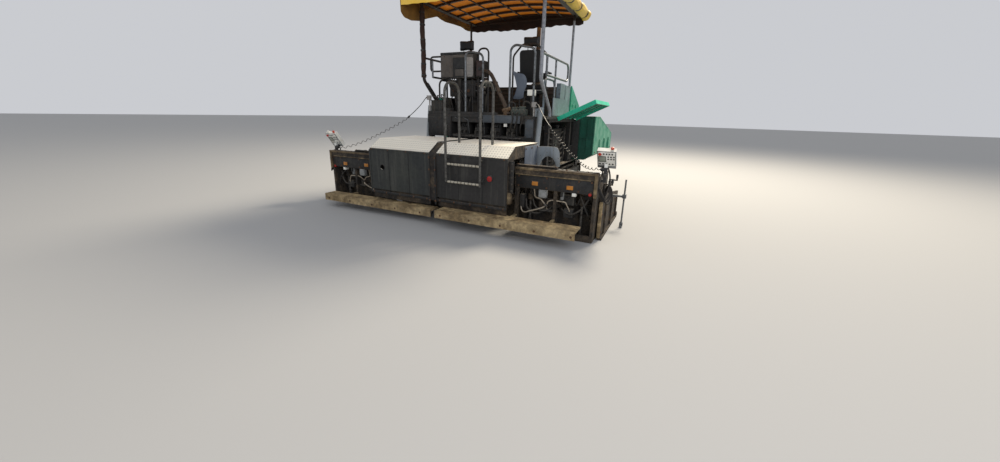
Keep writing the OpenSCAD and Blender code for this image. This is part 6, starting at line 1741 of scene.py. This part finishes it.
slats = []
for x in (-0.72, 0.0, 0.72):
    for i in range(9):
        t = 0.18 + i * 0.075
        centre = on_slope(x, t, 0.006)
        slat = plate("air_slat", (-0.24, -0.018, -0.003), (0.24, 0.018, 0.003), 0.002)
        slat.matrix_world = Matrix.Translation(centre) @ Matrix.Rotation(-slope + 0.45, 4, "X")
        slats.append(settle(slat))
dress("hood_air_slats", slats, dark_plastic)
frames = []
for x in (-0.72, 0.0, 0.72):
    for t in (0.13, 0.86):
        bit = plate("grille_frame", (-0.27, -0.012, -0.004), (0.27, 0.012, 0.006), 0.003)
        bit.matrix_world = Matrix.Translation(on_slope(x, t, 0.004)) @ Matrix.Rotation(-slope, 4, "X")
        frames.append(settle(bit))
    for dx in (-0.26, 0.26):
        bit = plate("grille_frame", (-0.012, -0.27, -0.004), (0.012, 0.27, 0.006), 0.003)
        bit.matrix_world = Matrix.Translation(on_slope(x + dx, 0.495, 0.004)) @ Matrix.Rotation(-slope, 4, "X")
        frames.append(settle(bit))
dress("hood_grille_frames", frames, dusty_hood)
dress("hood_rear_ribs", [plate("hood_rear_rib", (-1.15, 0.036, 1.76 + 0.085 * i), (1.15, 0.052, 1.79 + 0.085 * i),
    0.006) for i in range(6)], dusty_hood)
eyes = []
for x in (-0.95, 0.95):
    select_none()
    bpy.ops.mesh.primitive_torus_add(major_radius=0.032, minor_radius=0.009, major_segments=28, minor_segments=10,
        location=on_slope(x, 0.06, 0.03), rotation=(0, pi / 2, 0))
    eyes.append(settle(bpy.context.object))
dress("hood_eyes", eyes, bare_steel)
for side in (-1, 1):
    dress(f"hood_latches_{side}", [plate("hood_latch", (side * 1.198, 0.18 + 0.28 * i, 1.84),
        (side * 1.212, 0.24 + 0.28 * i, 1.91), 0.005) for i in range(2)], green_enamel)
dress("stack_bands", [bar("stack_band", (0.3, 0.37, z), (0.3, 0.37, z + 0.022), d, sides=40, edge=0.003)
    for z, d in ((2.36, 0.184), (1.98, 0.184), (2.452, 0.104), (3.05, 0.1), (3.655, 0.1))], rusty_steel,
    slot="tan_rust")
dress("heat_shield_bars", [plate("heat_shield", (0.3 + 0.098 * cos(a) - 0.01, 0.37 + 0.098 * sin(a) - 0.01, 2.05),
    (0.3 + 0.098 * cos(a) + 0.01, 0.37 + 0.098 * sin(a) + 0.01, 2.34), 0.003)
    for a in (pi * k / 7 for k in range(14))], bare_steel)

# %% Flaps: turned ribs, beads, lift handle
for side, body, tilt in ((-1, "flap_left", 90.0), (1, "flap_right", -25.0)):
    turn = (Matrix.Diagonal((side, 1, 1, 1)) @ Matrix.Translation((1.218, 0, 1.62))
        @ Matrix.Rotation(radians(tilt), 4, "Y"))
    ribs = [plate("flap_rib", (0.06, -0.95 + i * 0.34 - 0.015, -0.03), (0.74, -0.95 + i * 0.34 + 0.015, -0.004),
        0.005) for i in range(1, 4)]
    bead = [plate("flap_bead", (0.07, -0.93, 0.019), (0.72, -0.9, 0.025), 0.004),
        plate("flap_bead", (0.07, 0.36, 0.019), (0.72, 0.39, 0.025), 0.004),
        plate("flap_bead", (0.69, -0.9, 0.019), (0.72, 0.36, 0.025), 0.004)]
    grip = hose("flap_grip", [(0.7, -0.34, 0.018), (0.7, -0.34, 0.048), (0.7, -0.2, 0.048), (0.7, -0.2, 0.018)],
        0.012, bend=0.012)
    for obj, name, material, slot in ((joined("flap_ribs", ribs), "flap_ribs", flap_green, "green_paint"),
        (joined("flap_beads", bead), "flap_beads", flap_green, "green_paint"),
        (grip, "flap_grip", zinc_tube, "bare_steel")):
        obj.name = obj.data.name = f"{name}_{body}"
        obj.matrix_world = turn
        settle(obj)
        if side < 0:
            outward(obj)
        finish(obj, material, body, slot=slot)

# %% [markdown]
# ## Platform, ladder, footboards, front
#
# The deck is covered with ribbed mats, the boards that people stand on have worn tread bars, and the front beam
# has its bolts.

# %% Mats, treads and boards
dress("deck_mats", [plate("deck_mat", (x0, y0, 1.6505), (x1, y1, 1.657), 0.002)
    for x0, x1, y0, y1 in ((-1.05, -0.02, -1.76, -1.32), (0.02, 1.0, -1.76, -1.32), (-1.15, -0.02, -1.28, -0.55),
    (0.02, 1.05, -1.28, -0.55), (-1.15, 1.15, -0.52, 0.02))], hose_rubber)
dress("kick_plate", [plate("kick_plate", (-1.07, -1.798, 1.65), (0.4, -1.79, 1.7), 0.002)], dark_enamel)
dress("rung_sleeves", [bar("rung_sleeve", (x, -3.275, z), (x + 0.05, -3.275, z), 0.0335, sides=20, edge=0.002)
    for z in (0.7, 0.96) for x in [0.32 + 0.06 * i for i in range(9)]], trodden_steel, "screed", slot="bare_steel")
dress("ladder_clamps", [plate("ladder_clamp", (x - 0.035, -3.212, z - 0.03), (x + 0.035, -3.199, z + 0.03), 0.004)
    for x, z in ((0.29, 1.04), (0.86, 0.74), (0.86, 1.04))], dark_enamel, "screed")
dress("footboard_right_bars", [plate("tread_bar", (0.16, -3.385 + 0.046 * i, 0.2595),
    (2.29, -3.377 + 0.046 * i, 0.265), 0.002) for i in range(6)], sandy_steel, "extension_right")
dress("footboard_left_bars", [plate("tread_bar", (-2.29, -3.285 + 0.044 * i, 0.2275),
    (-0.01, -3.277 + 0.044 * i, 0.233), 0.002) for i in range(5)], sandy_steel, "extension_left")
bolted("footboard_right_bolts", [(0.25 + 0.5 * i, -3.4, 0.19) for i in range(5)], (0, -1, 0), 0.014, rusty_steel,
    "extension_right")
bolted("footboard_left_bolts", [(-2.2 + 0.5 * i, -3.3, 0.155) for i in range(5)], (0, -1, 0), 0.014, rusty_steel,
    "extension_left")
bolted("push_beam_bolts", [(x, 3.22, z) for x in (-0.8, -0.5, -0.25, 0.25, 0.5, 0.8) for z in (0.47, 0.57)],
    (0, 1, 0), 0.02, rusty_steel, "push_beam")
for side, body in ((-1, "push_roller_left"), (1, "push_roller_right")):
    dress(f"roller_rings_{side}", [bar("roller_ring", (side * 0.51 + dx, 3.32, 0.52),
        (side * 0.51 + dx + 0.012, 3.32, 0.52), 0.164, sides=48, edge=0.002)
        for dx in (-0.35, -0.12, 0.108, 0.338)], track_steel, body)

# %% [markdown]
# ## What fills the dark places
#
# A working paver has no empty corners. Inside each extension a ribbed wall closes the view, the hood's ends
# have their plates, and the platform carries a burner case and a regulator case with their hoses.

# %% Inside the extensions: the ribbed wall and what hangs on it
for side in (-1, 1):
    body = extension_of(side)

    def inner(name, x0, x1, y0, y1, z0, z1, edge=0.004):
        return plate(name, (side * x0, y0, z0), (side * x1, y1, z1), edge)

    wall = [inner("inner_wall", 1.33, 2.402, -2.66, -2.645, 0.325, 0.885)]
    wall += [inner("wall_rib", x, x + 0.03, -2.7, -2.655, 0.33, 0.88) for x in (1.36, 1.62, 1.9, 2.18, 2.36)]
    wall += [inner("wall_shelf", 1.34, 2.4, -2.72, -2.65, z, z + 0.012) for z in (0.47, 0.66)]
    dress(f"inner_wall_{body}", wall, tarred_steel, body)
    dress(f"gas_cases_{body}", [inner("gas_case", 1.44, 1.58, -2.8, -2.7, 0.52, 0.655, 0.008),
        inner("gas_case", 1.93, 2.12, -2.82, -2.71, 0.46, 0.6, 0.01),
        inner("gas_case", 2.24, 2.36, -2.8, -2.7, 0.56, 0.7, 0.008)], engine_enamel, body, slot="engine_iron")
    dress(f"gas_lines_{body}", [hose("gas_line", [(side * (1.45 + 0.22 * i), -2.72, 0.65),
        (side * (1.5 + 0.22 * i), -2.82, 0.56 - 0.03 * i), (side * (1.62 + 0.2 * i), -2.84, 0.5 + 0.03 * i),
        (side * (1.72 + 0.2 * i), -2.74, 0.6)], 0.018) for i in range(4)], brown_hose_dark, body)

# %% Ends and foot of the hood
for side in (-1, 1):
    finish(plate(f"hood_end_{side}", (side * 1.2505, -2.58, 0.87), (side * 1.258, -2.01, 1.215), 0.003),
        shield_enamel, "screed")
    bolted(f"hood_end_bolts_{side}", [(side * 1.258, y, z) for y in (-2.55, -2.3, -2.05) for z in (0.9, 1.18)],
        (side, 0, 0), 0.014, rusty_steel, "screed")
    finish(plate(f"hood_end_strip_{side}", (side * 1.246, -3.15, 0.6), (side * 1.325, -3.135, 1.055), 0.003),
        black_tube, "screed")
    bolted(f"hood_strip_bolts_{side}", [(side * 1.3, -3.15, 0.64 + 0.095 * i) for i in range(5)], (0, -1, 0), 0.014,
        bare_steel, "screed")
    finish(plate(f"hood_corner_shoe_{side}", (side * 1.215, -3.186, 0.44), (side * 1.3, -3.1, 0.615), 0.03,
        steps=4), rail_steel, "screed", slot="tan_rust")
    finish(plate(f"hood_toe_wall_{side}", (side * 0.08, -3.172, 0.27), (side * 1.24, -3.16, 0.46), 0.002),
        tarred_steel, "screed")

# %% The pale guard between hood and tractor, at each side
guard_line = [(1.256, 1.18), (1.33, 1.192), (1.45, 1.196), (1.545, 1.196), (1.6, 1.185), (1.635, 1.12),
    (1.65, 1.02), (1.662, 0.885), (1.597, 0.876), (1.575, 0.95), (1.545, 1.0), (1.5, 1.03), (1.45, 1.04),
    (1.4, 1.02), (1.36, 0.98), (1.337, 0.937), (1.32, 0.885), (1.256, 0.87)]
guard = outlined("side_guard_right", guard_line, -2.05, 0.008, edge=0.002, soft=False)
guard_left = copied(guard, "side_guard_left", mirror_x=True)
for obj in (guard, guard_left):
    finish(obj, pale_enamel, "screed", slot="pale_grey_paint", smooth=50)

# %% Cases on the platform
dress("burner_case", [plate("burner_case", (-1.06, -1.725, 1.652), (-0.8, -1.53, 1.885), 0.012),
    plate("burner_lid", (-1.065, -1.73, 1.885), (-0.795, -1.525, 1.9), 0.005),
    plate("burner_foot", (-0.78, -1.7, 1.652), (-0.66, -1.55, 1.76), 0.008)], engine_enamel, slot="dark_grey_paint")
finish(plate("burner_tank_cap", (-0.93, -1.66, 1.898), (-0.83, -1.58, 1.935), 0.012), green_enamel)
dress("regulator_case", [plate("regulator_case", (-0.99, -1.165, 1.99), (-0.44, -1.075, 2.3), 0.012),
    plate("regulator_lip", (-1.0, -1.172, 2.2), (-0.43, -1.16, 2.215), 0.003),
    plate("regulator_foot", (-0.8, -1.14, 1.652), (-0.6, -1.09, 2.0), 0.008)], engine_enamel,
    slot="dark_grey_paint")
dress("regulator_dials", [bar("regulator_dial", (x, -1.163, 2.1), (x, -1.184, 2.1), 0.062, sides=28, edge=0.005)
    for x in (-0.9, -0.74, -0.55)], rusty_steel)
case_hoses = [hose("case_hose", [(-0.95 + 0.11 * i, -1.13, 1.995), (-0.94 + 0.11 * i, -1.2, 1.92),
    (-0.88 + 0.1 * i, -1.24, 1.8 + 0.02 * i), (-0.86 + 0.09 * i, -1.2, 1.66)], 0.026) for i in range(5)]
case_hoses += [hose("burner_hose", [(-1.02 + 0.08 * i, -1.6, 1.895), (-1.04 + 0.09 * i, -1.66, 1.96 + 0.02 * i),
    (-0.92 + 0.09 * i, -1.7, 1.93), (-0.78 + 0.05 * i, -1.6, 1.75)], 0.02) for i in range(3)]
dress("case_hoses", case_hoses, brown_hose_dark)
dress("shelf_rail", [plate("shelf_rail", (-0.52, -1.808, 1.262), (0.86, -1.796, 1.284), 0.003)], bare_steel)
bulkhead = [plate("bulkhead", (-1.25, 0.79, 0.72), (1.25, 0.802, 1.6), 0.003)]
bulkhead += [plate("bulkhead_rib", (x - 0.02, 0.775, 0.74), (x + 0.02, 0.792, 1.58), 0.004)
    for x in (-1.1, -0.55, 0.0, 0.55, 1.1)]
dress("engine_bulkhead", bulkhead, dark_enamel)
print("filled the dark places")

# %% Loops of hose between the remote's arm and the end plate
for side in (-1, 1):
    dress(f"end_hoses_{side}", [hose("end_hose", [(side * 2.43, -2.88, 0.8),
        (side * (2.47 + 0.03 * i), -2.9, 0.7 - 0.03 * i), (side * (2.52 + 0.03 * i), -2.87, 0.6 - 0.02 * i),
        (side * (2.58 + 0.02 * i), -2.8, 0.66), (side * 2.55, -2.72, 0.74 + 0.02 * i), (side * 2.5, -2.66, 0.55)],
        0.02) for i in range(3)], brown_hose_dark, extension_of(side))

# %% [markdown]
# ## The wrapped post
#
# The rear left post is wrapped in old cloth and tape, so it looks thicker than the bare one at the right. The
# wrap is a tube whose radius and middle wander a little, with tape round it every hand's width.

# %% Wrap of the rear left post
wrap = bar("post_wrap", (-1.16, -1.78, 2.3), (-1.16, -1.78, 3.46), 0.086, sides=24)
alone(wrap)
bpy.ops.object.mode_set(mode="EDIT")
bpy.ops.mesh.select_all(action="SELECT")
bpy.ops.mesh.bisect(plane_co=(-1.16, -1.78, 2.9), plane_no=(0, 0, 1))
bpy.ops.object.mode_set(mode="OBJECT")
for i in range(1, 24):
    bpy.ops.object.mode_set(mode="EDIT")
    bpy.ops.mesh.select_all(action="SELECT")
    bpy.ops.mesh.bisect(plane_co=(-1.16, -1.78, 2.3 + 1.16 * i / 24), plane_no=(0, 0, 1))
    bpy.ops.object.mode_set(mode="OBJECT")
for vertex in wrap.data.vertices:
    out = vertex.co - Vector((-1.16, -1.78, vertex.co.z))
    angle = atan2(out.y, out.x)
    vertex.co += out * (0.13 * sin(3 * angle + 9 * vertex.co.z) + 0.08 * sin(31 * vertex.co.z))
# The wrap takes the cloth in painted shade: its dark colour is painted shade on the left post.
finish(wrap, painted_shade_cloth, slot="black_steel", smooth=60)
tapes = [bar("post_tape", (-1.16, -1.78, z), (-1.16, -1.78, z + 0.03), 0.098, sides=28, edge=0.004)
    for z in (2.32, 2.52, 2.75, 2.93, 3.18, 3.38)]
tapes += [bar("foot_wrap", (-1.16, -1.7, 2.19), (-1.16, -1.38, 1.905), 0.08, sides=24, edge=0.008)]
dress("post_tapes", tapes, hose_rubber)

# %% [markdown]
# ## The size
#
# Both boxes, of the frame and of the dressed machine, are written side by side.

# %% Finish
dressed_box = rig.bounds()
with open("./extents.json", "w") as handle:
    json.dump({"cad": [list(map(float, c)) for c in cad_box], "visual": [list(map(float, c)) for c in dressed_box]},
        handle)
print("pieces", len(pieces), "dressed box", dressed_box)
